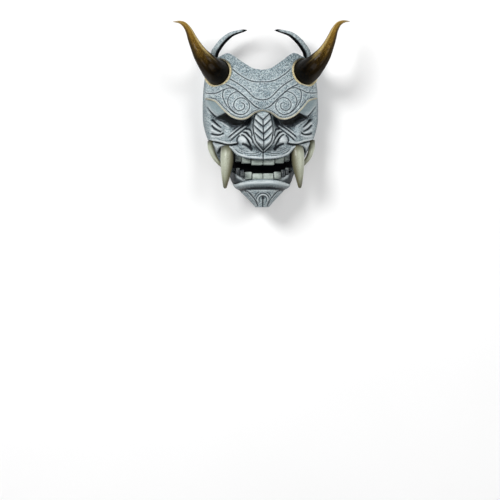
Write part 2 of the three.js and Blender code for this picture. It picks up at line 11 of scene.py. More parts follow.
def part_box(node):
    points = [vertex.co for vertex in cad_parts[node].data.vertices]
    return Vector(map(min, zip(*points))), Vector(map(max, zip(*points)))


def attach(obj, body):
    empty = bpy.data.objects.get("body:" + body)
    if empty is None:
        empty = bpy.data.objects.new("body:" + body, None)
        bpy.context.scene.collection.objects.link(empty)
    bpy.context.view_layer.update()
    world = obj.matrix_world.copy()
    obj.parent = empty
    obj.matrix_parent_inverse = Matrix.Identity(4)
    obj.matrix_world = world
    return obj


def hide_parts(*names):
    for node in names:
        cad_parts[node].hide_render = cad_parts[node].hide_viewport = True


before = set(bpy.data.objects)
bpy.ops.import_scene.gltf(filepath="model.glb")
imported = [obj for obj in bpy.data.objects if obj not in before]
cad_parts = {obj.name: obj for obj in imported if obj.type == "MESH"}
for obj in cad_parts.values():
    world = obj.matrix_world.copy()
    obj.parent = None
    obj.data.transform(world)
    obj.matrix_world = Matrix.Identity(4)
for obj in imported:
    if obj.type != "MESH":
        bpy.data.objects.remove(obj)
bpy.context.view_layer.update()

# The carving is drawn in millimetres on a flat map of the face: x out from the middle, y up from the
# bridge of the nose. One half is drawn, and the other is its mirror image.
MM = 0.001
WALL = 3.2
ARCH_POWER = 2.35
FACE_TOP = 100.0
FACE_BOTTOM = -145.0
BELOW = -8.0
MOUTH_LEVEL = 57.0
JAW_INSET = 7.0
MAP_STEP = 0.5
FRONT_SHARE = 0.9
FRONT_COLUMNS, SIDE_COLUMNS = 170, 26
FACE_END, FACE_ROWS = 27.0, 380
BROW_START, BROW_ROWS = -14.0, 252
HOLLOW_START, HOLLOW_ROWS, HOLLOW_COLUMNS = -140.0, 150, 121
CUT_FLOOR, CUT_TOP = -20.0, 150.0
HOLLOW_FLOOR, SCOOP_FLOOR = -30.0, -40.0
BEAD_REACH = 86.0
BEAD_SIDES = 10
SKIN_TRIANGLES = 190000
# Paint kept on each point. The dark wash and the black also carry painted shade, and the dry brush also
# carries painted highlights.
PAINT = ("wash", "lift", "calm", "gilt", "tooth", "ink", "bare")
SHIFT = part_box("mask_skin")[0].y / MM - FACE_BOTTOM

ARCHES = [
    (-145, 13, 60), (-129.5, 27, 70), (-112.5, 44, 74.5), (-95.5, 57.5, 77), (-69, 69, 79),
    (-42.5, 81.5, 80), (-16.5, 89.5, 79.5), (5.5, 91, 79), (36.5, 90, 73.5), (67.5, 86, 60),
    (87.5, 81.5, 46), (100, 78, 34),
]
RIM = [(-30, 0), (-60, 8), (-85, 18), (-105, 27), (-125, 34), (-150, 42)]
SCOOP = [
    (0, 67.5), (13, 70), (23, 76), (32.5, 83), (42, 90.5), (51, 96), (59, 94), (66.5, 90), (80.5, 87.5),
]

BROW_EDGE = [
    (0, 2.8), (11.5, -0.8), (23, -8.6), (30, -10.6), (37, -10.4), (45.5, -7.4), (52.5, -2.8), (61, 5.4),
    (67, 12.5), (73, 19.5), (85, 24), (100, 25),
]
BROW_TOP = [(2, 5.8), (11.5, 9.8), (26.5, 24.3), (42, 37.3), (57.5, 45.8)]
EYE = [
    (23, -8.5), (26.5, -13), (31, -17.5), (39, -19), (46.5, -18), (52.5, -14), (59, -10), (65, -8),
    (72, -4.8), (64.5, -2.4), (57, 1), (44, -3), (33, -6),
]
EYE_ROUNDED = 9
NOSE_LEAF = [(0, 7), (9, 1), (13, -8.5), (15, -25.5), (12.5, -42), (8.5, -49), (0, -57.5)]
UPPER_LIP = [
    (0, -72.2), (10, -72), (19, -71), (27, -69.4), (34, -67.4), (40.5, -64.3), (45, -59.8), (48.5, -55.8),
    (53.5, -52.3), (60, -50.2), (66.5, -53), (70, -61),
]
LIP_FRONT = 9
MOUTH_SIDE = [(75, -49), (79, -42.5), (100, -40), (100, -112), (62, -112)]
LIP_EDGE = [(52, -104.8), (42.5, -109.2), (34, -107), (25, -104.5), (15.5, -103), (0, -102.5)]
FLANGE = [(90, -38), (82, -40.5), (67.5, -44.5), (59, -47.5), (51, -49), (38, -47.5)]
LOWER_LIP = [(-15.5, -109), (0, -108.5), (15.5, -109), (31, -111), (42, -112.5), (52, -113)]
LIP_HOLLOW = [(-18.5, -117), (0, -116.6), (18.5, -117), (34, -118.2), (44, -119)]
EYELID = [
    (87, 15), (82.5, 8), (77.5, 0.5), (72.5, -4.6), (68, -6.2), (60, -6), (50, -3), (46, 6), (52, 20),
    (60, 30), (88, 32),
]
HOLLOW_EDGE = [(0, -67.5), (36, -67.5), (42, -56), (50, -46), (64, -45.5), (68, -37.5), (100, -35)]

# Mounds and hollows: place and size
NOSTRIL_WING = ((21, -41), (13, 11))
NOSTRIL_BALL = ((31, -42.5), (7.4, 7.0))
BALL_LIGHT = ((31.6, -41.6), (6.4, 6.0))
EYE_CORNER = ((22, -14), (8, 12))
CHEEK_MOUND = ((56, -31), (20, 14))

# Engraved lines
FOREHEAD_HIGH = [
    (-12.5, 48.8), (0, 48.3), (12.5, 48.8), (23, 52.3), (31, 57.3), (39, 63.3), (45.5, 69.8), (52.5, 75.8),
]
FOREHEAD_LOW = [
    (-10, 21.8), (0, 19.8), (10, 21.8), (16.5, 26.8), (23, 33.8), (30, 40.3), (38, 46.3), (45, 50.8),
    (53.5, 56.3),
]
TEARDROP = [
    (43.5, 37.8), (51, 39.3), (57.5, 37.3), (61, 31.8), (60.5, 23.8), (58, 16.8), (52.5, 8.3), (43.5, -0.2),
    (34, -2.7),
]
TEMPLE = [(88, 35), (84.5, 34), (77.5, 32), (70, 32), (63.5, 35), (57.5, 38)]
LID_CREASE = [(84, 12), (82, 8), (77.5, 0.5), (73, -4.5), (66, -8)]
LOWER_LID = [(74, -8.8), (68, -11), (62, -14), (55, -19), (49, -24)]
UNDER_EYE = [(23, -18), (31, -24), (39, -30), (45.5, -35.5), (52, -41)]
GILLS = [
    [(81.5, -8), (74.5, -13), (68, -18), (63, -22.5)],
    [(79, -17), (73.5, -22.5), (67.5, -26.5), (63, -29.5)],
    [(78.5, -30), (71.5, -32.5), (65, -33), (59.5, -30)],
]
GILL_FOOT = [(77, -36), (71, -37.5), (66, -37.5), (61, -35.5)]
NOSTRIL_OUTER = [(34, -34), (30.5, -34.6), (26, -39), (21.5, -45.5), (18, -52.5)]
NOSTRIL_INNER = [(31, -29.5), (25.5, -31), (21, -36.5), (17, -42.5), (15.5, -49)]
NOSTRIL_TOP = [(26.5, -25.5), (21, -25.5), (18, -30), (17, -38)]
NOSTRIL_SIDE = [(35.5, -34.5), (38.8, -38.5), (39.6, -43.5), (37.8, -47.5)]
OUTER_FINGER = [(36, -33.5), (29.5, -32.8), (23.8, -37.5), (19.8, -44), (17.2, -52)]
INNER_FINGER = [(31, -27.2), (24.5, -27.6), (19.8, -32.5), (16.9, -39.5), (15.8, -46)]
NOSTRIL_SLOT = [(33, -48), (29, -49), (24.5, -51), (20, -54.5), (16.5, -58.5)]
LIP_SCRATCHES = [
    [(6, -61.5), (16, -63.5), (27, -62.5), (35, -58.5)], [(3, -65), (14, -66.2), (24, -65.8)],
    [(30, -63.6), (37, -61), (43, -56)], [(22, -60), (29, -58.6), (37, -54)],
]
SECOND_BAND = [(-27, -120), (-14, -120.3), (0, -120), (14, -120.3), (27, -120)]
CHIN_BAND = [(29, -119), (22, -121.8), (16, -128), (11.2, -134.5), (8.4, -140), (7.2, -145)]
CHIN_EDGE = [(52, -104.5), (44, -110), (38, -116), (32, -123), (26.5, -129.5), (20, -137), (12.5, -145)]
SPIRAL_CENTRE = (34.5, 10.8)
SPIRAL = [
    (20, 1.2), (60, 3.0), (90, 3.9), (160, 6.4), (229, 7.1), (270, 7.4), (350, 9.5), (405, 11.0),
    (457, 12.6), (513, 13.8), (540, 14.5), (610, 14.2), (662, 13.4), (693, 14.2), (718, 17.0), (742, 20.6),
    (762, 22.4), (795, 22.8), (818, 21.8),
]
CHEVRON = {"first": -11.0, "pitch": 11.25, "slope": 0.82, "bend": 0.012, "lean": 0.77}
CHIN_CENTRE = (0.0, -134.0)
CHIN_TOP = -121.0
CHIN_HOLE = -131.2
LIP_ROUND = 1.6
LIP_GROOVE = [(0, -58.5), (0, -73.0)]

# Painted shade and painted highlights, as soft dark and light patches: place, size and strength
PAINTED_SHADE = [
    ((19, -18), (4.5, 11), 0.5), ((39, -48), (5, 2.6), 0.55), ((30, -55.5), (7, 2.6), 0.35),
    ((61, -25), (4, 6), 0.35), ((44, -25), (7, 3.5), 0.3), ((10, 5), (5, 3), 0.4),
]
PAINTED_HIGHLIGHTS = [((70.5, -49), (5, 6.5), 0.6), ((48, -38), (6, 4), 0.3), ((70, -36), (9, 2.2), 0.4)]

# Teeth: inner and outer edge, lower and upper end
UPPER_TEETH = [(0.12, 18.0, -80.6, -69), (18.25, 32.8, -77.8, -66.5), (33.05, 42.0, -74.8, -62)]
LOWER_TEETH = [
    (0.12, 16.6, -103.5, -93.3), (16.85, 28.4, -102.3, -90.8), (28.65, 35.0, -99.2, -87.4),
    (35.25, 40.5, -96.0, -84.4),
]
TOOTH_TOP = {"upper": 80.0, "lower": 76.0}
TOOTH_SAG = 0.006
ROWS_MEET = -87.0
TOOTH_RINGS = ((0.0, 2.4), (0.12, 1.3), (0.45, 0.6), (1.1, 0.2), (2.2, 0.0))
TOOTH_BOW = 1.3
TOOTH_SQUARE = 0.26
UPPER_ROOTS = [(0, -76.5), (17, -76), (26, -73.8), (34, -71), (42, -67.5), (48, -60)]
LOWER_ROOTS = [(0, -101.2), (17, -100.8), (28, -99), (35, -95.6), (41, -92), (48, -88)]
# Line of the painted highlight along the lower gums.
GUM_HIGHLIGHT_LINE = [(18, -104.2), (24, -104.4), (31, -101.6), (38, -97.6), (44, -93)]

# Horns and tusks: centre line with the diameter at each point
HORN = [
    (65, 63, 44, 41), (74, 67.5, 62, 37.5), (83.5, 76, 76, 31.5), (94, 88.5, 82, 24.5),
    (101.5, 101.5, 82, 18.5), (107.5, 114.5, 78, 14.5), (112.5, 127, 73, 11), (119, 137, 68, 8.2),
    (127, 141.5, 65, 4.6), (137, 142, 64, 0.8),
]
SMALL_HORN = [
    (76, 80, 22, 15), (73.5, 89, 27, 13), (71.5, 97.5, 31, 12.4), (66.5, 105.5, 34, 11.6),
    (60, 113.5, 36, 10.8), (53, 120, 37, 9.8), (45.5, 125, 38, 8), (37, 128, 38, 6.2), (27, 130.5, 38, 4.3),
    (21.5, 131, 38, 0.8),
]
FRONT_TUSK = [
    (54, -53.5, 55.5, 20), (54.2, -61, 59, 21), (55, -72, 61.5, 20.2), (56, -85, 62, 17.2),
    (57.2, -100, 60, 11.8), (57.9, -110, 57.6, 7.4), (58, -114.2, 56.4, 5.2), (58, -115.6, 56, 3),
]
REAR_TUSK = [
    (79.5, -41.5, 24, 9.4), (79, -51, 29, 9.6), (76.5, -59.5, 36, 9), (73, -67.5, 41, 8),
    (68, -74.5, 45, 6.6), (63, -80.5, 47, 4.4), (59, -84.5, 48, 0.8),
]
SMALL_HORN_HUB = (28.0, 92.0)
SEAT = {"centre": (65, 63, 44), "axis": (0.47, 0.23, 0.85), "radius": 21.9, "top": 6.0, "bead": 1.7}


# Curves on the map

def smooth(points, per=6):
    """A Catmull-Rom line through the points."""
    p = np.array(points, float)
    ends = np.vstack([2 * p[0] - p[1], p, 2 * p[-1] - p[-2]])
    t = (np.arange(per) / per)[:, None]
    spans = []
    for a, b, c, d in zip(ends, ends[1:], ends[2:], ends[3:]):
        square, cube = 2 * a - 5 * b + 4 * c - d, 3 * b - a - 3 * c + d
        spans.append(0.5 * (2 * b + (c - a) * t + square * t**2 + cube * t**3))
    return np.vstack(spans + [p[-1:]])


def ease(start, end, value):
    t = np.clip((value - start) / (end - start), 0, 1)
    return t * t * (3 - 2 * t)


def bell(distance, width):
    return np.exp(-((distance / width) ** 2))


def reach_of(x, y, centre, size):
    """Distance from a place on the map, in units of the size of what stands there."""
    return np.hypot((x - centre[0]) / size[0], (y - centre[1]) / size[1])


def end_fade(along, rate, least=0.0):
    """One along a line, and less towards both of its ends."""
    return np.clip(np.minimum(along, 1 - along) * rate + least, 0, 1)


def drawn(points):
    """The smooth line through a table of points, or a finished line as it is."""
    return points if isinstance(points, np.ndarray) else smooth(points)


def unit_steps(line):
    """Directions along a line of points."""
    steps = np.gradient(line, axis=0)
    return steps / np.linalg.norm(steps, axis=1, keepdims=True)


def level_on(line, x):
    """Height at x of a plain line of points."""
    return np.interp(x, *np.array(line, float).T)


def near(line, x, y, reach=12.0):
    """Distance to a line, the same with a minus sign on its right, and the nearest point's share of it."""
    d = np.full(x.size, reach)
    side = np.ones(x.size)
    along = np.zeros(x.size)
    px, py = x.ravel(), y.ravel()
    steps = np.hypot(*np.diff(line, axis=0).T)
    start = np.concatenate([[0], np.cumsum(steps)])
    for k, (a, b) in enumerate(zip(line, line[1:])):
        v = b - a
        length = max(v @ v, 1e-9)
        low, high = np.minimum(a, b) - reach, np.maximum(a, b) + reach
        i = np.nonzero((px > low[0]) & (px < high[0]) & (py > low[1]) & (py < high[1]))[0]
        if not i.size:
            continue
        u = np.clip(((px[i] - a[0]) * v[0] + (py[i] - a[1]) * v[1]) / length, 0, 1)
        gap = np.hypot(px[i] - a[0] - u * v[0], py[i] - a[1] - u * v[1])
        closer = gap < d[i] - 1e-9
        i, u, gap = i[closer], u[closer], gap[closer]
        d[i] = gap
        side[i] = np.where(v[0] * (py[i] - a[1]) - v[1] * (px[i] - a[0]) >= 0, 1, -1)
        along[i] = (start[k] + u * steps[k]) / start[-1]
    return d.reshape(x.shape), (d * side).reshape(x.shape), along.reshape(x.shape)


def gap_to(points, x, y, reach=20):
    return near(smooth(points), x, y, reach)[0]


def within(outline, x, y, reach=30.0):
    """Distance to a closed outline, positive inside it."""
    closed = np.vstack([outline, outline[:1]])
    d = near(closed, x, y, reach)[0]
    odd = np.zeros(x.shape, bool)
    for a, b in zip(closed, closed[1:]):
        if a[1] == b[1]:
            continue
        crosses = (a[1] > y) != (b[1] > y)
        odd ^= crosses & (x < (b[0] - a[0]) * (y - a[1]) / (b[1] - a[1]) + a[0])
    return np.where(odd, d, -d)


def both_halves(line):
    half = np.array(line, float)
    other = half[::-1] * [-1, 1]
    if half[-1, 0] == 0:
        other = other[1:]
    return np.vstack([other, half[1:] if half[0, 0] == 0 else half])


def blurred(field, sigma):
    """A Gaussian blur of a map, by rows and then by columns."""
    s = sigma / MAP_STEP
    n = int(3 * s) + 1
    kernel = np.exp(-0.5 * (np.arange(-n, n + 1) / s) ** 2)
    kernel /= kernel.sum()
    for axis in (0, 1):
        pad = [(n, n) if k == axis else (0, 0) for k in (0, 1)]
        wide = np.pad(field, pad, mode="reflect" if axis == 1 else "edge")
        size = field.shape[axis]
        field = sum(w * np.take(wide, np.arange(k, k + size), axis=axis) for k, w in enumerate(kernel))
    return field


# The arch that carries the face

arch_rows = smooth(ARCHES, 8)


def half_width(y):
    return np.interp(y, arch_rows[:, 0], arch_rows[:, 1])


def crown(y):
    return np.interp(y, arch_rows[:, 0], arch_rows[:, 2])


def arch_curve(share):
    """The arch as a share of its height, from a share of its half width, or the other way round."""
    return (1 - share**ARCH_POWER) ** (1 / ARCH_POWER)


def arch_height(x, y):
    return crown(y) * arch_curve(np.clip(np.abs(x) / half_width(y), 0, 1))


def place(x, y, raised):
    """A point of the map in space, raised forward in front and outward at the sides."""
    half, top = half_width(y), crown(y)
    across = np.clip(np.abs(x) / half, 0, 1)
    z = arch_height(x, y)
    nx = np.sign(x) * across ** (ARCH_POWER - 1) / half
    nz = (z / top) ** (ARCH_POWER - 1) / top
    size = np.maximum(np.hypot(nx, nz), 1e-12)
    blend = ease(0.7, 1, across)
    ox, oz = blend * nx / size, (1 - blend) + blend * nz / size
    size = np.hypot(ox, oz)
    return np.stack([x + raised * ox / size, y + 0 * x, z + raised * oz / size], -1)


def side_fade(x, y):
    return 1 - ease(0.88, 1, np.abs(x) / half_width(y))


def spiral_line():
    """The line wound over a brow, from its angle in degrees and its radius."""
    angle, radius = smooth(SPIRAL).T
    angle = np.radians(angle)
    cx, cy = SPIRAL_CENTRE
    return np.stack([cx + radius * np.cos(angle), cy + radius * np.sin(angle)], -1)


brow_edge = smooth(BROW_EDGE)
brow_line = both_halves(smooth(BROW_EDGE, 8))
brow_top = smooth(BROW_TOP)
leaf = smooth(NOSE_LEAF)
leaf_outline = np.vstack([leaf, leaf[::-1] * [-1, 1]])
eye_outline = np.array(EYE, float)
mouth_half = np.vstack([smooth(UPPER_LIP, 4), MOUTH_SIDE, smooth(LIP_EDGE, 4)])
mouth_outline = np.vstack([[(-6, UPPER_LIP[0][1])], mouth_half, [(-6, LIP_EDGE[-1][1])]])


class Relief:
    """Heights over the arch, and paint that is dark, light or free of stipple, on maps of half the face; the
    dark and light include painted shade and painted highlights.
    """

    def __init__(self, x, y):
        self.x, self.y = x, y
        self.height, self.dark, self.light, self.calm = (np.zeros(x.shape) for _ in range(4))
        self.fade = side_fade(x, y)

    def darken(self, amount):
        self.dark = np.maximum(self.dark, amount)

    def lighten(self, amount):
        self.light = np.maximum(self.light, amount)

    def soften(self, amount):
        self.calm = np.maximum(self.calm, amount)

    def gap(self, points, raised=0.0):
        """Distance to a line, or to the same line raised on the map."""
        return gap_to(points, self.x, self.y - raised)

    def cut(self, points, width, depth, open_ends=False, dark=1.0, brushed=0.45):
        """A round-shouldered groove along a line, fading at its ends, with the dry brush on its rims."""
        d, _, along = near(drawn(points), self.x, self.y, 6.0)
        ends = 1.0 if open_ends else end_fade(along, 12, 0.1)
        self.height -= depth * (bell(d, width) + 0.35 * bell(d, 2.6 * width)) * ends
        self.darken(dark * bell(d, 0.85 * width) * ends)
        self.lighten(brushed * bell(d - 2 * width - 0.4, 0.5 * width + 0.3) * ends)

    def rib(self, points, width, height, light):
        d, _, along = near(smooth(points), self.x, self.y, 3 * width)
        k = bell(d, width) * end_fade(along, 6)
        self.height += height * k
        self.lighten(light * k**1.5)


def nose_form(x, y):
    bulge = 1 - ease(45, 62, -y)
    rise = (3 + 26.2 * np.clip((4 - y) / 54, 0, 1) ** 1.25) * bulge * (1 - ease(-4, 9, y))
    inside = within(leaf_outline, x, y)
    return rise * ease(-11, 2.5, inside), inside


def nostril_form(x, y):
    wing = 8.5 * bell(reach_of(x, y, *NOSTRIL_WING), 1) * ease(-57, -50, y)
    ball = 5.2 * np.exp(-(reach_of(x, y, *NOSTRIL_BALL) ** 3))
    return wing + ball


def eye_form(x, y):
    inside = within(eye_outline, x, y)
    socket = -11 * bell(inside, 9) * (1 - 0.9 * eyelid)
    inner_corner = -4 * bell(reach_of(x, y, *EYE_CORNER), 1)
    return socket + 5.0 * eyelid + inner_corner, inside


def cheek_form(x, y):
    above = -near(smooth(FLANGE), x, y, 30)[1]
    mound = 5.5 * bell(reach_of(x, y, *CHEEK_MOUND), 1)
    step = np.where(above > 0, 2.6 * np.exp(-above / 6), -2.2 * np.exp(above / 2.5) * ease(-60, -50, y))
    return mound + step * ease(34, 44, x)


def muzzle_form(x, y):
    return 9 * np.exp(-((x / 42) ** 4)) * (1 - ease(-58, -40, y)) * ease(-103, -75, y)


def jaw_form(x, y):
    roll = 6.5 * bell(gap_to(LOWER_LIP, x, y), 5.0) * (1 - 0.6 * ease(34, 47, x))
    second = 1.2 * bell(gap_to(SECOND_BAND, x, y), 2.0)
    return roll + second - 2.6 * bell(gap_to(LIP_HOLLOW, x, y), 1.8)


def face_forms(x, y):
    nose, in_leaf = nose_form(x, y)
    eye, in_eye = eye_form(x, y)
    total = nose + nostril_form(x, y) + eye + cheek_form(x, y) + muzzle_form(x, y) + jaw_form(x, y)
    return total * side_fade(x, y), in_leaf, in_eye


def brow_forms(x, y):
    above = np.maximum(near(brow_edge, x, y, 60)[1], 0)
    in_pad = -near(brow_top, x, y, 60)[1]
    swell = 2 + 5 * np.exp(-above / 16) * ease(-6, 6, in_pad) + 1.6 * ease(0, 14, in_pad)
    return swell * side_fade(x, y), above


def carve_nose(r, in_leaf):
    """Scales in a herringbone on the bridge, inside a rim and a dark furrow."""
    x, y = r.x, r.y
    level = y - CHEVRON["slope"] * x * (1 + CHEVRON["bend"] * x)
    f = (CHEVRON["first"] - level) / CHEVRON["pitch"]
    row = f - np.floor(f)
    on = ease(0.2, 1.8, in_leaf)
    body = f > 0
    across = CHEVRON["pitch"] * CHEVRON["lean"]
    scale = (0.35 + 1.3 * row**0.8) * (1 - np.exp(-(((1 - row) * across / 1.2) ** 2)))
    scale *= 1 - 0.6 * np.exp(-((row * across / 1.4) ** 2))
    seam = np.maximum(bell((1 - row) * across, 1.3), bell(row * across, 1.4))
    middle = bell(x, 0.85) * body
    r.height += on * np.where(body, 1.3 * scale, 0.8) - on * 1.2 * middle
    rim, moat = bell(in_leaf + 2.4, 0.9) * (y < -24), bell(in_leaf + 0.4, 1.0) * (y < 0)
    outer = bell(in_leaf + 4.3, 0.8) * (y < -20) * (x < 19)
    r.height += 0.9 * rim - 1.7 * moat - 0.8 * outer
    for k in (on * seam * (f > -0.12), on * middle, moat, 0.8 * outer):
        r.darken(k)
    r.darken(0.45 * on * (1 - row) ** 2 * (f > 0.2))
    bright = (0.05 + 0.95 * row) * ease(5, -12, y)
    r.lighten(on * bright * (1 - seam) * (1 - middle))
    r.lighten(0.8 * rim)


def carve_nostrils(r):
    """The ball of each nostril, with two fingers folded over it and a slot below."""
    r.cut(NOSTRIL_OUTER, 1.3, 2.8)
    r.cut(NOSTRIL_INNER, 1.2, 2.6)
    r.cut(NOSTRIL_TOP, 1.1, 2.2)
    r.rib(OUTER_FINGER, 2.0, 2.8, 1.0)
    r.rib(INNER_FINGER, 1.8, 2.4, 1.0)
    # Painted highlight on the ball, and painted shade in the groove along its outer side.
    r.lighten(0.85 * np.exp(-(reach_of(r.x, r.y, *BALL_LIGHT) ** 4)))
    r.cut(NOSTRIL_SIDE, 1.2, 1.6, dark=0.75, brushed=0.2)
    r.cut(NOSTRIL_SLOT, 1.7, 3.0)


def carve_cheeks(r):
    """A double line below the eye, gills beside it, and the long crease over the mouth."""
    d, side, along = near(smooth(UNDER_EYE), r.x, r.y, 8)
    ends = end_fade(along, 8)
    below, over = bell(side - 2.3, 1.0), bell(side + 2.3, 1.0)
    r.height += (1.7 * bell(d, 0.9) - 2.0 * below - 1.6 * over) * ends
    r.darken(np.maximum(below, 0.9 * over) * ends)
    r.lighten(0.8 * bell(d, 0.8) * ends)
    upper = ends * (1 - ease(0.5, 0.85, along))
    second = bell(side - 6.6, 0.8)
    r.height += 1.1 * bell(side - 4.6, 0.9) * upper - 0.9 * second * upper
    r.lighten(0.6 * bell(side - 4.6, 0.8) * upper)
    r.darken(0.6 * second * upper)
    r.rib(LOWER_LID, 1.4, 0.9, 0.75)
    for gill in GILLS:
        r.cut(gill, 1.3, 2.6)
    for k, (upper, lower) in enumerate(zip(GILLS, GILLS[1:] + [GILL_FOOT])):
        between = [((a[0] + b[0]) / 2, (a[1] + b[1]) / 2) for a, b in zip(upper, lower)]
        r.rib(between, 2.0, 2.2 - 0.4 * k, 0.8)
    r.cut(FLANGE, 1.3, 2.2)
    r.rib([(x, y + 2.6) for x, y in FLANGE], 1.5, 0.9, 0.55)
    r.cut(LID_CREASE, 1.4, 2.0)
    r.soften(eyelid)


def carve_lips(r):
    """A rolled rim round the open mouth, and the groove under the nose, with a painted highlight along the
    lip's edge and painted highlight and shade on the lower lip's roll.
    """
    edge = within(mouth_outline, r.x, r.y)
    upper = r.y > LIP_GROOVE[1][1]
    r.height += 1.2 * (bell(edge + 2.6, 1.7) * upper) * r.fade
    # Painted highlight along the edge of the upper lip.
    r.lighten(0.95 * bell(edge + 1.9, 1.3) * upper)
    outside = np.clip(-edge, 0, LIP_ROUND)
    rounded = np.sqrt(np.maximum(LIP_ROUND**2 - (LIP_ROUND - outside) ** 2, 0))
    r.height -= (LIP_ROUND - rounded) * (edge < 0)
    r.cut(np.array(LIP_GROOVE), 0.9, 1.1, open_ends=True)
    for scratch in LIP_SCRATCHES:
        r.cut(scratch, 0.6, 0.35, dark=0.55)
    r.soften(0.6 * bell(r.gap(LOWER_LIP), 5.0))
    # Painted highlight on top of the lower lip's roll, and painted shade under it.
    r.lighten(0.7 * bell(r.gap(LOWER_LIP, 2.2), 2.2) * ease(46, 32, r.x))
    r.darken(0.35 * bell(r.gap(LOWER_LIP, -3.6), 2.4))
    r.darken(0.5 * bell(r.gap(LIP_HOLLOW, 3.0), 2.4))
    r.darken(0.8 * bell(r.gap(LIP_HOLLOW), 0.9))


def carve_chin(r):
    """Ridged bands down both sides of the chin, and arcs round a small hole between them."""
    r.cut(CHIN_BAND, 0.9, 0.9, dark=0.85)
    d = np.abs(r.gap(CHIN_EDGE))
    middle = ease(0.5, 2, -near(smooth(CHIN_BAND), r.x, r.y, 20)[1])
    low = ease(CHIN_TOP + 4, CHIN_TOP, r.y) * (1 - middle)
    for gap in (2.6, 5.2, 7.8):
        line = bell(d - gap, 0.55) * low
        r.height -= 0.35 * line
        r.darken(0.5 * line)
    cx, cy = CHIN_CENTRE
    radius = np.hypot(r.x - cx, r.y - cy)
    top = ease(cy - 7, cy, r.y) * ease(CHIN_TOP, CHIN_TOP - 1.5, r.y) * middle
    for size, strength in ((5.9, 0.75), (10.0, 0.85), (13.4, 0.7)):
        k = bell(radius - size, 0.75) * top
        r.height -= 0.7 * strength * k
        r.darken(strength * k)
    arch = bell(radius - 7.9, 1.0) * top
    r.height += 1.0 * arch
    r.lighten(0.85 * arch)
    r.lighten(0.25 * bell(radius - 11.7, 0.9) * top)
    tail = 0.8 * bell(r.x, 1.1) * ease(CHIN_HOLE + 1, CHIN_HOLE - 1, r.y)
    r.darken(0.12 * ease(CHIN_TOP + 5, CHIN_TOP, r.y))
    hole = np.maximum(bell(np.hypot(r.x, r.y - CHIN_HOLE), 2.5), tail)
    r.height -= 2.2 * hole
    r.darken(hole)


def map_grid():
    xs = np.arange(0, 100 + MAP_STEP, MAP_STEP)
    ys = np.arange(FACE_BOTTOM - 3, FACE_TOP + 12, MAP_STEP)
    return xs, ys, *np.meshgrid(xs, ys)


map_x, map_y, grid_x, grid_y = map_grid()
eyelid = blurred(ease(-1, 2.5, within(np.array(EYELID, float), grid_x, grid_y)), 2.4)


def face_maps():
    """The carved face below the brow."""
    r = Relief(grid_x, grid_y)
    r.height, in_leaf, in_eye = face_forms(grid_x, grid_y)
    r.height -= 1.4 * np.exp(-np.maximum(-in_eye, 0) / 1.1)
    # Painted shade round the eye holes, reaching further below them and towards the nose, and less on the
    # lid.
    reach = np.where(grid_y < -4, 1.3 + 2.6 * ease(55, 42, grid_x), 0.8)
    r.dark = np.exp(-np.maximum(-in_eye, 0) / reach) * (0.85 - 0.65 * eyelid)
    carve_nose(r, in_leaf)
    carve_nostrils(r)
    carve_cheeks(r)
    carve_lips(r)
    carve_chin(r)
    # Soft patches of painted shade and painted highlights.
    for place, size, strength in PAINTED_SHADE:
        r.darken(strength * bell(reach_of(grid_x, grid_y, place, size), 1))
    for place, size, strength in PAINTED_HIGHLIGHTS:
        r.lighten(strength * bell(reach_of(grid_x, grid_y, place, size), 1))
    return r


def brow_maps():
    """The carved brow and forehead."""
    r = Relief(grid_x, grid_y)
    r.height, above = brow_forms(grid_x, grid_y)
    r.cut(FOREHEAD_HIGH, 0.65, 0.9, dark=0.9)
    r.cut(FOREHEAD_LOW, 0.65, 0.9, dark=0.9)
    r.cut(brow_top, 0.75, 1.0)
    r.cut(TEARDROP, 0.65, 0.8, dark=0.9)
    r.cut(spiral_line(), 0.6, 0.8, dark=0.85)
    r.cut(TEMPLE, 0.7, 0.9)
    inner = ease(4, 10, grid_x) * (1 - ease(74, 82, grid_x))
    groove = bell(above - 3.2, 0.55) * inner
    r.height += -0.8 * groove * r.fade - 1.3 * np.exp(-above / 0.9) * r.fade
    r.darken(0.8 * groove)
    return r


def sampled(field, x, y):
    """A map's value at points of either half, between its grid points."""
    fx = np.clip(np.abs(x) / MAP_STEP, 0, len(map_x) - 1.001)
    fy = np.clip((y - map_y[0]) / MAP_STEP, 0, len(map_y) - 1.001)
    i, j = fx.astype(int), fy.astype(int)
    u, v = fx - i, fy - j
    low = field[j, i] * (1 - u) + field[j, i + 1] * u
    high = field[j + 1, i] * (1 - u) + field[j + 1, i + 1] * u
    return low * (1 - v) + high * v


# Meshes

def to_scene(points):
    """Millimetres of the map's frame to metres of the scene."""
    return (np.asarray(points, float) + [0, SHIFT, 0]) * MM


def places(piece):
    """The points of a piece in millimetres of the map's frame."""
    flat = np.empty(len(piece.data.vertices) * 3)
    piece.data.vertices.foreach_get("co", flat)
    return flat.reshape(-1, 3) / MM - [0, SHIFT, 0]


def linked(name, data):
    made = bpy.data.objects.new(name, data)
    bpy.context.scene.collection.objects.link(made)
    return made


def new_object(name, points, *groups):
    """A mesh object from points in millimetres and arrays of faces, each array with faces of one size."""
    groups = [np.asarray(g, np.int32) for g in groups if len(g)]
    sizes = np.concatenate([np.full(len(g), g.shape[1], np.int32) for g in groups])
    corners = np.concatenate([g.ravel() for g in groups])
    mesh = bpy.data.meshes.new(name)
    mesh.vertices.add(len(points))
    mesh.vertices.foreach_set("co", to_scene(points).astype(np.float32).ravel())
    mesh.loops.add(len(corners))
    mesh.loops.foreach_set("vertex_index", corners)
    mesh.polygons.add(len(sizes))
    starts = np.concatenate([[0], np.cumsum(sizes)[:-1]])
    mesh.polygons.foreach_set("loop_start", starts.astype(np.int32))
    mesh.update(calc_edges=True)
    return linked(name, mesh)


def grid_faces(rows, columns, wrap=False):
    shape = np.arange(rows - 1), np.arange(columns if wrap else columns - 1)
    j, i = np.meshgrid(*shape, indexing="ij")
    a = j * columns + i
    b = j * columns + (i + 1) % columns
    return np.stack([a, b, b + columns, a + columns], -1).reshape(-1, 4)


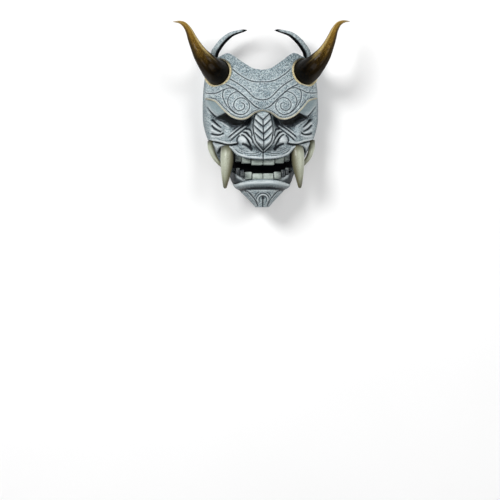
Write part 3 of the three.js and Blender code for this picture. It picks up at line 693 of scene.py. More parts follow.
def terrain(name, surface):
    """Closes a grid of surface points (rows, columns, 3) down to a flat underside."""
    rows, columns = surface.shape[:2]
    index = np.arange(rows * columns).reshape(rows, columns)
    loop = np.concatenate([index[0, :-1], index[:-1, -1], index[-1, :0:-1], index[:0:-1, 0]])
    top = surface.reshape(-1, 3)
    feet = top[loop].copy()
    feet[:, 2] = BELOW
    hub = np.array([[0, top[:, 1].mean(), BELOW]])
    n = len(loop)
    foot = len(top) + np.arange(n)
    following = np.roll(np.arange(n), -1)
    walls = np.stack([loop[following], loop, foot, foot[following]], -1)
    cap = np.stack([foot[following], foot, np.full(n, len(top) + n)], -1)
    return new_object(name, np.vstack([top, feet, hub]), grid_faces(rows, columns), walls, cap)


def prism(name, outline, low=CUT_FLOOR, high=CUT_TOP):
    outline = np.array(outline, float)
    n = len(outline)
    points = np.vstack([np.c_[outline, np.full(n, level)] for level in (low, high)])
    k = np.arange(n)
    return facing_out(new_object(name, points, grid_faces(2, n, wrap=True), [k[::-1]], [n + k]))


def facing_out(piece):
    """Turns the faces of a closed mesh outward, and splits them into triangles."""
    mesh = bmesh.new()
    mesh.from_mesh(piece.data)
    bmesh.ops.triangulate(mesh, faces=mesh.faces)
    bmesh.ops.recalc_face_normals(mesh, faces=mesh.faces)
    mesh.to_mesh(piece.data)
    mesh.free()
    return piece


def applied(piece, kind, **settings):
    """Runs one modifier on a piece and keeps its result."""
    modifier = piece.modifiers.new(kind, kind)
    for key, value in settings.items():
        setattr(modifier, key, value)
    bpy.context.view_layer.update()
    graph = bpy.context.evaluated_depsgraph_get()
    made = bpy.data.meshes.new_from_object(piece.evaluated_get(graph))
    piece.modifiers.clear()
    old, piece.data = piece.data, made
    bpy.data.meshes.remove(old)
    return piece


def combined(piece, other, operation, **paint):
    """Paints another closed piece, joins it to this one or cuts it away, and removes it."""
    if paint:
        painted(other, **paint)
    applied(piece, "BOOLEAN", object=other, operation=operation, solver="MANIFOLD")
    bpy.data.objects.remove(other)
    return piece


def cut_away(piece, other, **paint):
    return combined(piece, other, "DIFFERENCE", **paint)


def added(piece, other, **paint):
    return combined(piece, other, "UNION", **paint)


def joined(name, pieces):
    """Several painted pieces that don't touch, as one."""
    whole = pieces[0]
    whole.name = name
    with bpy.context.temp_override(active_object=whole, selected_editable_objects=pieces):
        bpy.ops.object.join()
    return whole


def kept(piece, **values):
    """Keeps one number or a number for each point under each name."""
    count = len(piece.data.vertices)
    for name, value in values.items():
        made = piece.data.attributes.new(name, "FLOAT", "POINT")
        made.data.foreach_set("value", np.broadcast_to(value, count).astype(np.float32))
    return piece


def painted(piece, **values):
    """Gives every point of a piece its paint, which is nought where nothing is said."""
    return kept(piece, **{name: values.get(name, 0.0) for name in PAINT})


def turns(sides):
    return 2 * np.pi * np.arange(sides) / sides


def ring_faces(rings, sides):
    """Faces of a closed stack of rings, whose two end points follow the rings."""
    n, last = rings * sides, (rings - 1) * sides
    k = np.arange(sides)
    after = (k + 1) % sides
    start = np.stack([after, k, np.full(sides, n)], -1)
    end = np.stack([last + k, last + after, np.full(sides, n + 1)], -1)
    return grid_faces(rings, sides, wrap=True), np.vstack([start, end])


def ringed(name, rings, start, end):
    """A closed body from a stack of rings and its two end points."""
    points = np.vstack(rings + [[start], [end]])
    return facing_out(new_object(name, points, *ring_faces(len(rings), len(rings[0]))))


def tapered(name, stations, sides, steps, radius_at=None):
    """A tapering body along a bent centre line, with the place of each point along and round it."""
    line = smooth(stations, 24)
    gaps = np.linalg.norm(np.diff(line[:, :3], axis=0), axis=1)
    travelled = np.concatenate([[0], np.cumsum(gaps)])
    t = np.linspace(0, 1, steps + 1)
    centre = np.stack([np.interp(t * travelled[-1], travelled, line[:, k]) for k in range(4)], -1)
    radius = np.maximum(centre[:, 3], 0.5) / 2
    tangent = unit_steps(centre[:, :3])
    normal = np.array([0.0, 0.0, 1.0])
    angle = turns(sides)
    rings = []
    for c, r, d, s in zip(centre[:, :3], radius, tangent, t):
        normal = normal - d * (normal @ d)
        normal /= np.linalg.norm(normal)
        size = r * (radius_at(s, angle) if radius_at else np.ones(sides))
        rings.append(c + np.outer(size * np.cos(angle), normal)
                     + np.outer(size * np.sin(angle), np.cross(d, normal)))
    piece = ringed(name, rings, centre[0, :3], centre[-1, :3] + tangent[-1] * 0.05)
    along = np.concatenate([np.repeat(t, sides), [0, 1]])
    around = np.concatenate([np.tile(angle, steps + 1), [0, 0]])
    return piece, along, around


def mirrored(points):
    return [(-p[0], *p[1:]) for p in points]


def bothways(points):
    return ((1, points), (-1, mirrored(points)))


# The cast skin

def spread(ys, x):
    """The row places repeated over the columns of x."""
    return np.repeat(ys[:, None], x.shape[1], 1)


def column_shares(front, side):
    """Places across the face as shares of its half width: even in front, even in height at the side."""
    edge = arch_curve(np.linspace(arch_curve(FRONT_SHARE), 0, side + 1))
    right = np.concatenate([np.linspace(0, FRONT_SHARE, front + 1), edge[1:]])
    return np.concatenate([-right[:0:-1], right])


def symmetric_surface(bottom, top, rows, raised):
    """Points of the face over its whole width, with the map place of each."""
    ys = np.linspace(bottom, top, rows)
    x = column_shares(FRONT_COLUMNS, SIDE_COLUMNS)[None, :] * half_width(ys)[:, None]
    y = spread(ys, x)
    return place(x, y, sampled(raised, x, y)), x, y


def painted_terrain(name, bottom, top, rows, maps):
    """A block with the carved face on top, painted from the maps there and bare below."""
    surface, x, y = symmetric_surface(bottom, top, rows, maps["height"])
    block = terrain(name, surface)
    below = np.zeros(len(block.data.vertices) - x.size)
    paint = {key: np.append(sampled(maps[key], x, y), below) for key in ("wash", "lift", "calm")}
    return painted(block, **paint)


def face_block(maps):
    block = painted_terrain("face", FACE_BOTTOM, FACE_END, FACE_ROWS, maps)
    eye = np.vstack([smooth(EYE[:EYE_ROUNDED]), EYE[EYE_ROUNDED:]])
    # The walls of the eye holes are painted black as painted shade.
    holes = [painted(prism("eye", eye * [side, 1]), ink=1.0) for side in (1, -1)]
    return cut_away(block, joined("eyes", holes))


def brow_block(maps):
    block = painted_terrain("brow", BROW_START, FACE_TOP, BROW_ROWS, maps)
    keep = prism("brow_outline", np.vstack([brow_line, [(100, 120), (-100, 120)]]))
    # The cut walls under the brow get a dark wash that is painted shade.
    return combined(block, keep, "INTERSECT", wash=0.9)


def brow_bead(maps):
    """A round bead along the lower edge of the brow."""
    line = brow_line[np.abs(brow_line[:, 0]) < BEAD_REACH]
    tangent = unit_steps(line)
    spot = line + np.stack([-tangent[:, 1], tangent[:, 0]], -1) * 0.9
    raised = sampled(maps["height"], line[:, 0], line[:, 1] + 2.0)
    centre = place(spot[:, 0], spot[:, 1], raised - 0.5)
    across = np.abs(line[:, 0])
    bead = swept("brow_bead", centre, 1.1 * ease(0, 6, BEAD_REACH - across) + 0.2)
    dull = 0.5 * ease(34, 10, across) + 0.35 * ease(70, 82, across)
    return painted(bead, gilt=0.6, lift=0.3, wash=np.concatenate([np.repeat(dull, BEAD_SIDES), [0, 0]]))


def gums(x, y, low):
    """Heights of the jaw from its plain ones, built up where the teeth stand in it."""
    across = np.abs(x)
    lower = ease(1.8, -1.8, y - level_on(LOWER_ROOTS, across))
    upper = ease(-1.8, 1.8, y - level_on(UPPER_ROOTS, across))
    top = np.minimum(68 - TOOTH_SAG * x * x, arch_height(x, y) - 3.0)
    return low + np.maximum(top - low, 0) * np.maximum(lower, upper) * ease(51, 43, across)


def mouth_core(name, inset, level, bottom, top, built_up=False, columns=70, rows=110):
    """The jaw behind the open mouth: an arch which comes out nearly to the skin at its foot."""
    ys = np.linspace(bottom, top, rows)
    angle = np.linspace(np.pi, 0, 2 * columns + 1)
    half = (half_width(ys) - inset)[:, None]
    side = np.sign(np.cos(angle))
    x = half * side * np.abs(np.cos(angle)) ** (2 / ARCH_POWER)
    y = spread(ys, x)
    z = level * np.abs(np.sin(angle)) ** (2 / ARCH_POWER) + 0 * half
    x = x + side * (JAW_INSET - 1) * ease(32, 8, z)
    if built_up:
        z = gums(x, y, z)
    return terrain(name, np.stack([x, y, z], -1))


def open_mouth(skin):
    """Cuts the mouth open down to a dark arch with gums, and sets the teeth in."""
    cut_away(skin, prism("mouth", both_halves(mouth_half)), ink=1.0)
    added(skin, mouth_core("jaw", JAW_INSET, MOUTH_LEVEL, -116, -38, built_up=True), ink=1.0)
    added(skin, teeth())


def tooth(size, top, side, upper):
    """A rounded block on a dark root, with its free end bowed back."""
    x0, x1, y0, y1 = size
    cx, cy, hx, hy = (x0 + x1) / 2, (y0 + y1) / 2, (x1 - x0) / 2, (y1 - y0) / 2
    level = top - TOOTH_SAG * cx * cx
    across = x1 / (half_width(cy) - JAW_INSET)
    foot = MOUTH_LEVEL * arch_curve(across) - 1.5
    sides, rings = 48, []
    angle = turns(sides)
    ox, oy = (np.sign(share) * np.abs(share) ** TOOTH_SQUARE for share in (np.cos(angle), np.sin(angle)))
    for inset, drop in ((0.0, level - foot), *TOOTH_RINGS):
        x, y = cx + (hx - inset) * ox, cy + (hy - inset) * oy
        free = np.clip(((y1 - y) if upper else (y - y0)) / (y1 - y0), 0, 1)
        bow = TOOTH_BOW * free**2 if drop < 10 else 0.0
        rings.append(np.c_[side * x, y, np.full(sides, level - drop) - bow])
    crown_middle = [side * cx, cy, level + 0.05 - 0.25 * TOOTH_BOW]
    return painted(ringed("tooth", rings, [side * cx, cy, foot], crown_middle), tooth=1.0)


def teeth():
    rows = ((UPPER_TEETH, TOOTH_TOP["upper"], True), (LOWER_TEETH, TOOTH_TOP["lower"], False))
    return joined("teeth", [
        tooth(size, top, side, upper) for row, top, upper in rows for size in row for side in (1, -1)
    ])


def tooth_wash(x, y, z):
    """Dark seams between the teeth and dark towards their roots, with painted shade where the lips come over
    them and towards the corners of the mouth.
    """
    across = np.abs(x)
    upper = y > ROWS_MEET
    gaps = [
        np.min([np.abs(across - size[1]) for size in row] + [across], axis=0)
        for row in (UPPER_TEETH, LOWER_TEETH)
    ]
    seam = 0.95 * bell(np.where(upper, *gaps), 0.5)
    depth = np.where(upper, TOOTH_TOP["upper"], TOOTH_TOP["lower"]) - TOOTH_SAG * x * x - z
    lip, root = level_on(UPPER_LIP[:LIP_FRONT], across), level_on(LOWER_ROOTS, across)
    cover = np.where(upper, 0.45 * ease(4.5, 0.5, lip - y), 0.4 * ease(0.5, -2.0, y - root))
    corner = np.where(upper, 0.9 * ease(24, 42, across), 0.95 * ease(18, 32, across))
    return np.max([seam, ease(4.5, 10, depth), cover, corner], axis=0)


def mouth_tones(x, y, z):
    """Black behind the teeth, dark gums with a streak of painted highlight, and skin dimmed by painted shade
    at the corners and down the jaw.
    """
    across = np.abs(x)
    flank = ease(47, 54, across)
    gum = ease(2.0, -1.0, y - level_on(LOWER_ROOTS, across))
    skin = np.max([ease(34, 44, across) * ease(-82, -94, y), flank, gum], axis=0)
    # The streak is a painted highlight along the gum.
    streak = bell(gap_to(GUM_HIGHLIGHT_LINE, across, y, 6), 2.3)
    streak = streak * ease(18, 25, across) * ease(44, 38, across)
    wash = skin * (0.93 - 0.6 * flank * ease(38, 12, z)) * (1 - streak)
    return {"ink": 1 - np.maximum(0.88 * skin, flank), "wash": wash, "lift": streak, "calm": streak}


def inside_height(x, y, face, brow):
    """Height one wall under the smooth outside."""
    ledge = ease(3, 17, near(brow_edge, np.abs(x), y, 60)[1]) * ease(-50, -35, y)
    relief = sampled(face, x, y) * (1 - ledge) + sampled(brow, x, y) * ledge
    return place(x, y, relief)[..., 2] - WALL


def hollow_block(face, brow):
    """The hollow of the mask, under the lowest of the heights near each place, so that no wall is thin."""
    ys = np.linspace(HOLLOW_START, FACE_TOP + 8, HOLLOW_ROWS)
    u = np.linspace(-1, 1, HOLLOW_COLUMNS)
    share = np.sign(u) * np.abs(np.cos(np.pi / 2 * (1 - np.abs(u)))) ** (2 / ARCH_POWER)
    half = half_width(ys)[:, None]
    x = share[None, :] * half * (1 - WALL / half)
    y = spread(ys, x)
    reach = 1.3 * WALL
    heights = [inside_height(x, y, face, brow)]
    for turn in np.arange(8) * np.pi / 4:
        heights.append(inside_height(x + reach * np.cos(turn), y + reach * np.sin(turn), face, brow))
    z = np.maximum(np.min(heights, axis=0), BELOW + 1)
    return terrain("hollow", np.stack([x, y, z], -1))


def plain_forms():
    """Smooth heights that the inside follows, without the nostrils and the fine carving."""
    face = face_forms(grid_x, grid_y)[0] - nostril_form(grid_x, grid_y) * side_fade(grid_x, grid_y)
    return blurred(face, 1.5), blurred(brow_forms(grid_x, grid_y)[0], 1.5)


def hollowed(skin):
    face, brow = plain_forms()
    above = np.vstack([both_halves(HOLLOW_EDGE), [(100, 130), (-100, 130)]])
    under = [(-100, -160), (100, -160), (100, -113.5), (-100, -113.5)]
    for region in [prism("region", outline, HOLLOW_FLOOR) for outline in (above, under)]:
        cut_away(skin, combined(hollow_block(face, brow), region, "INTERSECT"), bare=1.0)
    core = mouth_core("behind_mouth", JAW_INSET + WALL, MOUTH_LEVEL - WALL, -130, -30)
    cut_away(skin, core, bare=1.0)


def rim_cutter():
    side = np.array([(120, 0), *RIM, (-160, RIM[-1][1]), (-160, -40), (120, -40)], float)
    n = len(side)
    points = np.vstack([np.c_[np.full(n, x), side] for x in (-150, 150)])
    k = np.arange(n)
    return facing_out(new_object("rim_cutter", points, grid_faces(2, n, wrap=True), [k], [n + k[::-1]]))


def scoop_cutter():
    edge = both_halves(smooth(SCOOP, 8))
    end = SCOOP[-1][1]
    return prism("scoop", np.vstack([edge, [(120, end), (120, 140), (-120, 140), (-120, end)]]), SCOOP_FLOOR)


def seat_matrix(side):
    axis = Vector((side * SEAT["axis"][0], SEAT["axis"][1], SEAT["axis"][2])).normalized()
    turn = Vector((0, 0, 1)).rotation_difference(axis).to_matrix().to_4x4()
    cx, cy, cz = SEAT["centre"]
    return Matrix.Translation((side * cx, cy, cz)) @ turn


def lathed(name, profile, segments, matrix):
    """A round body from a closed profile of radius and height."""
    profile = np.array(profile, float)
    angle = turns(segments)
    rings = [np.c_[r * np.cos(angle), r * np.sin(angle), np.full(segments, h)] for r, h in profile]
    turn = np.array(matrix)
    points = np.vstack(rings) @ turn[:3, :3].T + turn[:3, 3]
    faces = grid_faces(len(profile) + 1, segments, wrap=True) % len(points)
    return facing_out(new_object(name, points, faces))


def seat(side):
    """The flared socket of a big horn, with a bead round its lip."""
    r, top, bead = SEAT["radius"], SEAT["top"], SEAT["bead"]
    flare = [(r + 1.2 + 7.5 * (1 - t) ** 2.6, -11 + (top + 10.5) * t) for t in np.linspace(0, 1, 14)]
    profile = [(4.0, -11)] + flare + [(r - 1.2, top), (4.0, top)]
    socket = lathed("seat", profile, 96, seat_matrix(side))
    angles = np.linspace(0, 2 * math.pi, 14, endpoint=False)
    ring = [(r + bead * math.cos(a), top + bead * math.sin(a)) for a in angles]
    return socket, lathed("seat_bead", ring, 96, seat_matrix(side))


def swept(name, centre, radius, sides=BEAD_SIDES):
    """A round tube along a line of points, with its own radius at each."""
    up = np.array([0.0, 0.0, 1.0])
    angle = turns(sides)
    rings = []
    for c, d, r in zip(centre, unit_steps(centre), radius):
        across = np.cross(d, up)
        across /= np.linalg.norm(across)
        over = np.cross(across, d)
        rings.append(c + r * (np.outer(np.cos(angle), across) + np.outer(np.sin(angle), over)))
    return ringed(name, rings, centre[0], centre[-1])


def cavity_paint(r, fade):
    """Where a dark wash settles in the fine low places, painted shade in the broad hollows and towards the
    sides, and where a dry brush catches the high ones.
    """
    fine, broad, wide = (r.height - blurred(r.height, sigma) for sigma in (0.9, 3.2, 8.0))
    rough = 1 - 0.7 * r.calm
    # Fine hollows hold the dark wash; broad and wide hollows get painted shade.
    sunk = 1.1 * np.clip(-fine, 0, 1) + 0.2 * np.clip(-broad, 0, 3) + 0.1 * np.clip(-wide, 0, 5)
    wash = np.clip(r.dark + sunk * rough * (1 - r.light), 0, 1)
    lift = np.clip(r.light + (0.7 * fine + 0.18 * broad + 0.03 * wide) * rough, 0, 1) * (1 - r.dark)
    # Painted shade towards the sides of the arch.
    edge = 0.3 * ease(0.9, 1, np.abs(r.x) / half_width(r.y))
    return {"height": r.height, "wash": np.maximum(wash * fade, edge), "lift": lift * fade, "calm": r.calm}


def skin_maps():
    fade = 0.25 + 0.75 * side_fade(grid_x, grid_y)
    return cavity_paint(face_maps(), fade), cavity_paint(brow_maps(), fade)


def upper_side(piece):
    """How far each point is round to the side of the crown, for the painted shade above a horn."""
    level = SEAT["centre"][1]
    return 0.1 + 0.55 * ease(level + 6, level + 22, places(piece)[:, 1])


def seats(skin):
    for side in (1, -1):
        socket, bead = seat(side)
        # Painted shade on the upper side of the socket and of its gold bead.
        added(skin, socket, wash=upper_side(socket))
        added(skin, bead, gilt=1.0, wash=1.6 * (upper_side(bead) - 0.1))


def small_horns(skin):
    """The two inner horns, black at the tip and on the side that faces the middle of their bend, which is
    black paint together with painted shade on that underside.
    """
    for side, stations in bothways(SMALL_HORN):
        horn, along, _ = tapered("small_horn", stations, 32, 60)
        points = places(horn)[:, :2]
        centre = smooth(stations, 24)
        nearest = np.argmin(np.linalg.norm(points[:, None] - centre[None, :, :2], axis=2), axis=1)
        middle, width = centre[nearest, :2], centre[nearest, 3]
        away = middle - np.array([side * SMALL_HORN_HUB[0], SMALL_HORN_HUB[1]])
        facing = np.sum((middle - points) * away, axis=1) / (np.linalg.norm(away, axis=1) * width / 2 + 1e-6)
        ink = np.maximum(ease(-0.05, 0.35, facing), ease(0.86, 0.95, along))
        added(skin, horn, ink=ink, lift=0.2)


def rooms(skin):
    """Sockets for the horns and tusks, a little wider than they are, their walls painted black as painted
    shade in the gaps round the roots.
    """
    for stations in (HORN, FRONT_TUSK, REAR_TUSK):
        for _, line in bothways(stations):
            wider = [(x, y, z, d + 0.5) for x, y, z, d in line]
            cut_away(skin, tapered("room", wider, 48, 60)[0], ink=1.0)


def repainted(skin, face, brow):
    """Paints over what the cuts left uneven: the open mouth, the teeth and the walls under the brow, which
    get painted shade that is darker the deeper they lie.
    """
    x, y, z = places(skin).T
    layers = skin.data.attributes
    paint = {name: np.empty(len(x), np.float32) for name in PAINT}
    for name, values in paint.items():
        layers[name].data.foreach_get("value", values)
    open_to = within(mouth_outline, np.abs(x), y)
    skin_part = (paint["bare"] < 0.5) & (z > -0.5)
    crowns = skin_part & (paint["tooth"] > 0.5)
    paint["wash"][crowns] = tooth_wash(x, y, z)[crowns]
    jaw = skin_part & ~crowns & (open_to > 0.6)
    tones = mouth_tones(x, y, z)
    for name in PAINT:
        paint[name][jaw] = tones[name][jaw] if name in tones else 0
    outside = arch_height(x, y) + sampled(face["height"], x, y)
    walls = skin_part & ~crowns & (np.abs(open_to) <= 0.6) & (z < outside - 2)
    over = arch_height(x, y) + sampled(brow["height"], x, y + 1.0)
    brow_wall = skin_part & (np.abs(near(brow_edge, np.abs(x), y)[1]) < 0.5) & (z < over - 2)
    # Painted shade on the walls below the mouth's edge and under the brow, darker the deeper they lie.
    for part, below in ((walls, outside - z), (brow_wall, over - z)):
        paint["ink"][part] = 0
        paint["wash"][part] = (0.75 * ease(1.5, 6, below))[part]
    for name, values in paint.items():
        layers[name].data.foreach_set("value", values)
    return skin


def mask_skin():
    face, brow = skin_maps()
    skin = face_block(face)
    added(skin, brow_block(brow))
    added(skin, brow_bead(brow))
    open_mouth(skin)
    hollowed(skin)
    cut_away(skin, scoop_cutter(), wash=0.25)
    small_horns(skin)
    seats(skin)
    rooms(skin)
    cut_away(skin, rim_cutter(), bare=1.0)
    triangles = sum(len(p.vertices) - 2 for p in skin.data.polygons)
    applied(skin, "DECIMATE", ratio=min(1.0, SKIN_TRIANGLES / triangles))
    skin.name = skin.data.name = "latex_skin"
    return repainted(skin, face, brow)


# Horns and tusks

def fluted(count, depth, twist):
    """Shallow grooves along a horn, which turn slowly round it and fade at its root."""
    def radius_at(s, angle):
        groove = 0.5 - 0.5 * np.cos(count * angle + twist * s)
        return 1 - depth * groove**2 * ease(0.05, 0.3, s)
    return radius_at


def curved_piece(name, node, stations, sides, steps, radius_at, side):
    piece, along, around = tapered(name, stations, sides, steps, radius_at)
    outer = side * np.sin(around)
    kept(piece, along=along, round_x=np.cos(around), round_y=np.sin(around), outer=outer)
    piece.data.shade_smooth()
    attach(piece, "root")
    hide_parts(node)
    return piece


def horns_and_tusks():
    made = {}
    for side, label in ((1, "left"), (-1, "right")):
        for kind, stations, sides, steps, radius_at, slot in (
            ("horn", HORN, 72, 220, fluted(7, 0.03, 2.5 * side), "horn"),
            ("tusk_front", FRONT_TUSK, 56, 120, fluted(5, 0.012, 0.6 * side), "tusk"),
            ("tusk_rear", REAR_TUSK, 48, 90, fluted(4, 0.012, 0.6 * side), "tusk"),
        ):
            line = stations if side > 0 else mirrored(stations)
            node = f"{kind}_{label}"
            made[node] = curved_piece(f"{node}_piece", node, line, sides, steps, radius_at, side)
    return made


# Materials

STROKE_CENTRE = 0.11
STROKE_SCALE = (540.0, 15.0, 60.0)


def srgb(red, green, blue):
    """A screen colour of 0 to 255 as linear light."""
    shares = [value / 255 for value in (red, green, blue)]
    return tuple(v / 12.92 if v <= 0.04045 else ((v + 0.055) / 1.055) ** 2.4 for v in shares) + (1.0,)


class Nodes:
    """Short calls for the nodes of one material or sky."""

    def __init__(self, owner):
        owner.use_nodes = True
        self.owner = owner
        self.tree = owner.node_tree

    def link(self, value, socket):
        if hasattr(value, "is_output"):
            self.tree.links.new(value, socket)
        else:
            socket.default_value = value

    def node(self, kind, inputs, output, **settings):
        """A new node with its inputs linked or set, and one of its outputs."""
        made = self.tree.nodes.new(kind)
        for key, value in settings.items():
            setattr(made, key, value)
        for key, value in inputs.items():
            self.link(value, made.inputs[key])
        return made.outputs[output]

    def surface(self, values):
        """Links or sets the inputs of the shader."""
        for key, value in values.items():
            self.link(value, self.tree.nodes["Principled BSDF"].inputs[key])
        return self.owner

    def attribute(self, name):
        return self.node("ShaderNodeAttribute", {}, "Fac", attribute_name=name)

    def place(self, frame="Object"):
        return self.node("ShaderNodeTexCoord", {}, frame)

    def vector(self, x, y, z):
        return self.node("ShaderNodeCombineXYZ", {"X": x, "Y": y, "Z": z}, "Vector")

    def noise(self, vector, scale, detail, roughness=0.55, distortion=0.0):
        inputs = {"Scale": scale, "Detail": detail, "Roughness": roughness, "Distortion": distortion}
        return self.node("ShaderNodeTexNoise", {"Vector": vector, **inputs}, "Fac")

    def math(self, operation, a, b=0.0, clamp=False):
        return self.node("ShaderNodeMath", {0: a, 1: b}, 0, operation=operation, use_clamp=clamp)

    def plus(self, a, b, clamp=False):
        return self.math("ADD", a, b, clamp)

    def less(self, a, b):
        return self.math("SUBTRACT", a, b)

    def times(self, a, b, clamp=False):
        return self.math("MULTIPLY", a, b, clamp)

    def fitted(self, value, low, high, to_low=0.0, to_high=1.0):
        inputs = {"Value": value, "From Min": low, "From Max": high, "To Min": to_low, "To Max": to_high}
        return self.node("ShaderNodeMapRange", inputs, "Result", interpolation_type="SMOOTHSTEP")

    def mix(self, share, a, b):
        """Two colours mixed."""
        return self.node("ShaderNodeMix", {0: share, 6: a, 7: b}, 2, data_type="RGBA")

    def blend(self, share, a, b):
        """Two numbers mixed."""
        return self.node("ShaderNodeMix", {0: share, 2: a, 3: b}, 0, data_type="FLOAT")

    def ramp(self, value, stops):
        colours = self.node("ShaderNodeValToRGB", {"Fac": value}, "Color")
        elements = colours.node.color_ramp.elements
        for _ in stops[2:]:
            elements.new(0.5)
        for element, (position, colour) in zip(elements, stops):
            element.position = position
            element.color = colour
        return colours

    def bump(self, height, strength, distance, normal=None):
        inputs = {"Height": height, "Strength": strength, "Distance": distance}
        if normal:
            inputs["Normal"] = normal
        return self.node("ShaderNodeBump", inputs, "Normal")


def brush_field(n, place):
    """Strokes of a dry brush: arcs round the crown, long across the face and short up it."""
    apart = n.node("ShaderNodeSeparateXYZ", {0: place}, 0).node
    x, y, z = apart.outputs
    reach = n.less(STROKE_CENTRE, y)
    radius = n.math("SQRT", n.plus(n.times(x, x), n.times(reach, reach)))
    turn = n.math("ARCTAN2", x, reach)
    return n.vector(*(n.times(value, scale) for value, scale in zip((radius, turn, z), STROKE_SCALE)))


def skin_colour(n, strokes, patches, speckle, rough_part):
    """Grey blue latex, with streaks, dark stipple and pale specks where it isn't smoothed."""
    place = n.place()
    broad = n.noise(place, 26, 3)
    stipple = n.noise(place, 520, 2, 0.65)
    colour = n.mix(n.fitted(broad, 0.35, 0.65), srgb(114, 135, 143), srgb(132, 150, 155))
    colour = n.mix(n.fitted(patches, 0.45, 0.7, 0, 0.4), colour, srgb(92, 113, 124))
    for field, low, high, share, tone in (
        (strokes, 0.52, 0.6, 0.8, srgb(188, 202, 205)), (strokes, 0.46, 0.38, 0.75, srgb(70, 87, 98)),
        (stipple, 0.54, 0.6, 0.9, srgb(42, 56, 67)), (speckle, 0.53, 0.61, 0.85, srgb(208, 217, 219)),
    ):
        colour = n.mix(n.times(n.fitted(field, low, high, 0, share), rough_part), colour, tone)
    return colour


def washed(n, colour, strokes, rough_part):
    """A dark wash and painted shade, with a ragged edge that follows the brush."""
    stain = n.attribute("wash")
    edge = n.times(n.times(stain, n.less(1.0, stain)), 3.2)
    ragged = n.times(n.less(strokes, 0.5), n.plus(edge, 0.25))
    wash = n.plus(stain, n.times(ragged, n.times(rough_part, 1.6)), clamp=True)
    return n.mix(wash, colour, srgb(20, 27, 34))


def skin_material():
    n = Nodes(bpy.data.materials.new("painted_latex"))
    place = n.place()
    calm, gilt, tooth, ink, bare = (n.attribute(name) for name in ("calm", "gilt", "tooth", "ink", "bare"))
    rough_part = n.less(1.0, n.times(calm, 0.68))
    strokes = n.noise(brush_field(n, place), 1.0, 3, 0.6, 0.5)
    patches = n.noise(place, 85, 4, 0.6)
    speckle = n.noise(place, 820, 2, 0.6)
    colour = skin_colour(n, strokes, patches, speckle, rough_part)
    colour = n.mix(n.times(calm, 0.5), colour, srgb(136, 151, 154))
    # Pale paint of the dry brush on high places, together with painted highlights.
    lift = n.times(n.attribute("lift"), n.fitted(strokes, 0.35, 0.6, 0.55, 1.0), clamp=True)
    colour = n.mix(lift, colour, srgb(212, 220, 222))
    gold = n.mix(n.fitted(speckle, 0.42, 0.62), srgb(222, 210, 168), srgb(146, 130, 90))
    colour = n.mix(gilt, colour, gold)
    clouds = n.fitted(patches, 0.35, 0.65)
    colour = n.mix(tooth, colour, n.mix(clouds, srgb(178, 187, 181), srgb(142, 152, 144)))
    colour = washed(n, colour, strokes, rough_part)
    # Black paint, together with painted shade on the eye-hole walls, in the gaps round the horn and tusk
    # roots and under the small horns.
    colour = n.mix(ink, colour, srgb(7, 7, 9))
    colour = n.mix(bare, colour, n.mix(clouds, srgb(22, 24, 26), srgb(15, 17, 19)))
    rough = n.fitted(speckle, 0.3, 0.7, 0.5, 0.66)
    for part, level in ((calm, 0.42), (gilt, 0.34), (tooth, 0.36), (ink, 0.75)):
        rough = n.blend(part, rough, level)
    normal = n.bump(n.noise(place, 1500, 2, 0.6), 0.25, 0.0003)
    normal = n.bump(speckle, 0.3, 0.0005, normal)
    normal = n.bump(n.times(strokes, rough_part), 0.4, 0.0009, normal)
    return n.surface({
        "Base Color": colour, "Roughness": rough, "Normal": n.bump(patches, 0.2, 0.0012, normal),
        "Specular IOR Level": n.blend(n.math("MAXIMUM", bare, ink), 0.35, 0.04),
    })


def round_fields(n, *settings):
    """Noises that run along a horn or tusk, each from its scale along it and its own settings."""
    round_x, round_y, along = n.attribute("round_x"), n.attribute("round_y"), n.attribute("along")
    return [n.noise(n.vector(round_x, round_y, n.times(along, scale)), *rest) for scale, *rest in settings]


def horn_material():
    n = Nodes(bpy.data.materials.new("lacquered_horn"))
    along, outer = n.attribute("along"), n.attribute("outer")
    streak, fine, mottle = round_fields(
        n, (1.2, 4.0, 4, 0.6, 0.3), (2.2, 17.0, 3, 0.65), (9.0, 5.0, 4, 0.6))
    shifted = n.plus(along, n.times(n.less(streak, 0.5), 0.3))
    colour = n.ramp(shifted, [
        (0.0, srgb(2, 2, 3)), (0.24, srgb(6, 5, 3)), (0.38, srgb(40, 28, 7)), (0.52, srgb(84, 63, 20)),
        (0.72, srgb(122, 92, 32)), (0.92, srgb(150, 122, 62)), (1.0, srgb(172, 162, 138)),
    ])
    # Painted highlight: the shine band along the inner side. Painted shade: the dark line along the inner
    # edge and the dark brown along the other edge.
    shine = n.times(n.fitted(outer, -0.82, -0.6), n.fitted(outer, -0.05, -0.45))
    shine = n.times(shine, n.fitted(shifted, 0.3, 0.5, 0.0, 0.8))
    inner_edge = n.times(n.fitted(outer, -0.72, -0.92), n.fitted(along, 0.97, 0.8))
    for share, tone in (
        (n.times(n.fitted(fine, 0.5, 0.66, 0, 0.6), n.fitted(along, 0.28, 0.55)), srgb(168, 134, 66)),
        (n.fitted(fine, 0.5, 0.36, 0, 0.65), srgb(26, 17, 5)),
        (n.fitted(mottle, 0.52, 0.7, 0, 0.35), srgb(44, 31, 9)),
        (n.times(shine, n.fitted(fine, 0.38, 0.55, 0.35, 1.0)), srgb(206, 182, 118)),
        (n.times(inner_edge, 0.94), srgb(8, 6, 3)),
        (n.times(n.fitted(outer, 0.45, 0.95), n.fitted(along, 0.97, 0.7, 0.0, 0.8)), srgb(28, 20, 6)),
    ):
        colour = n.mix(share, colour, tone)
    return n.surface({
        "Base Color": colour, "Roughness": n.fitted(fine, 0.3, 0.7, 0.34, 0.5),
        "Normal": n.bump(fine, 0.3, 0.0006), "Specular IOR Level": 0.03,
        "Coat Weight": 0.1, "Coat Roughness": 0.06,
    })


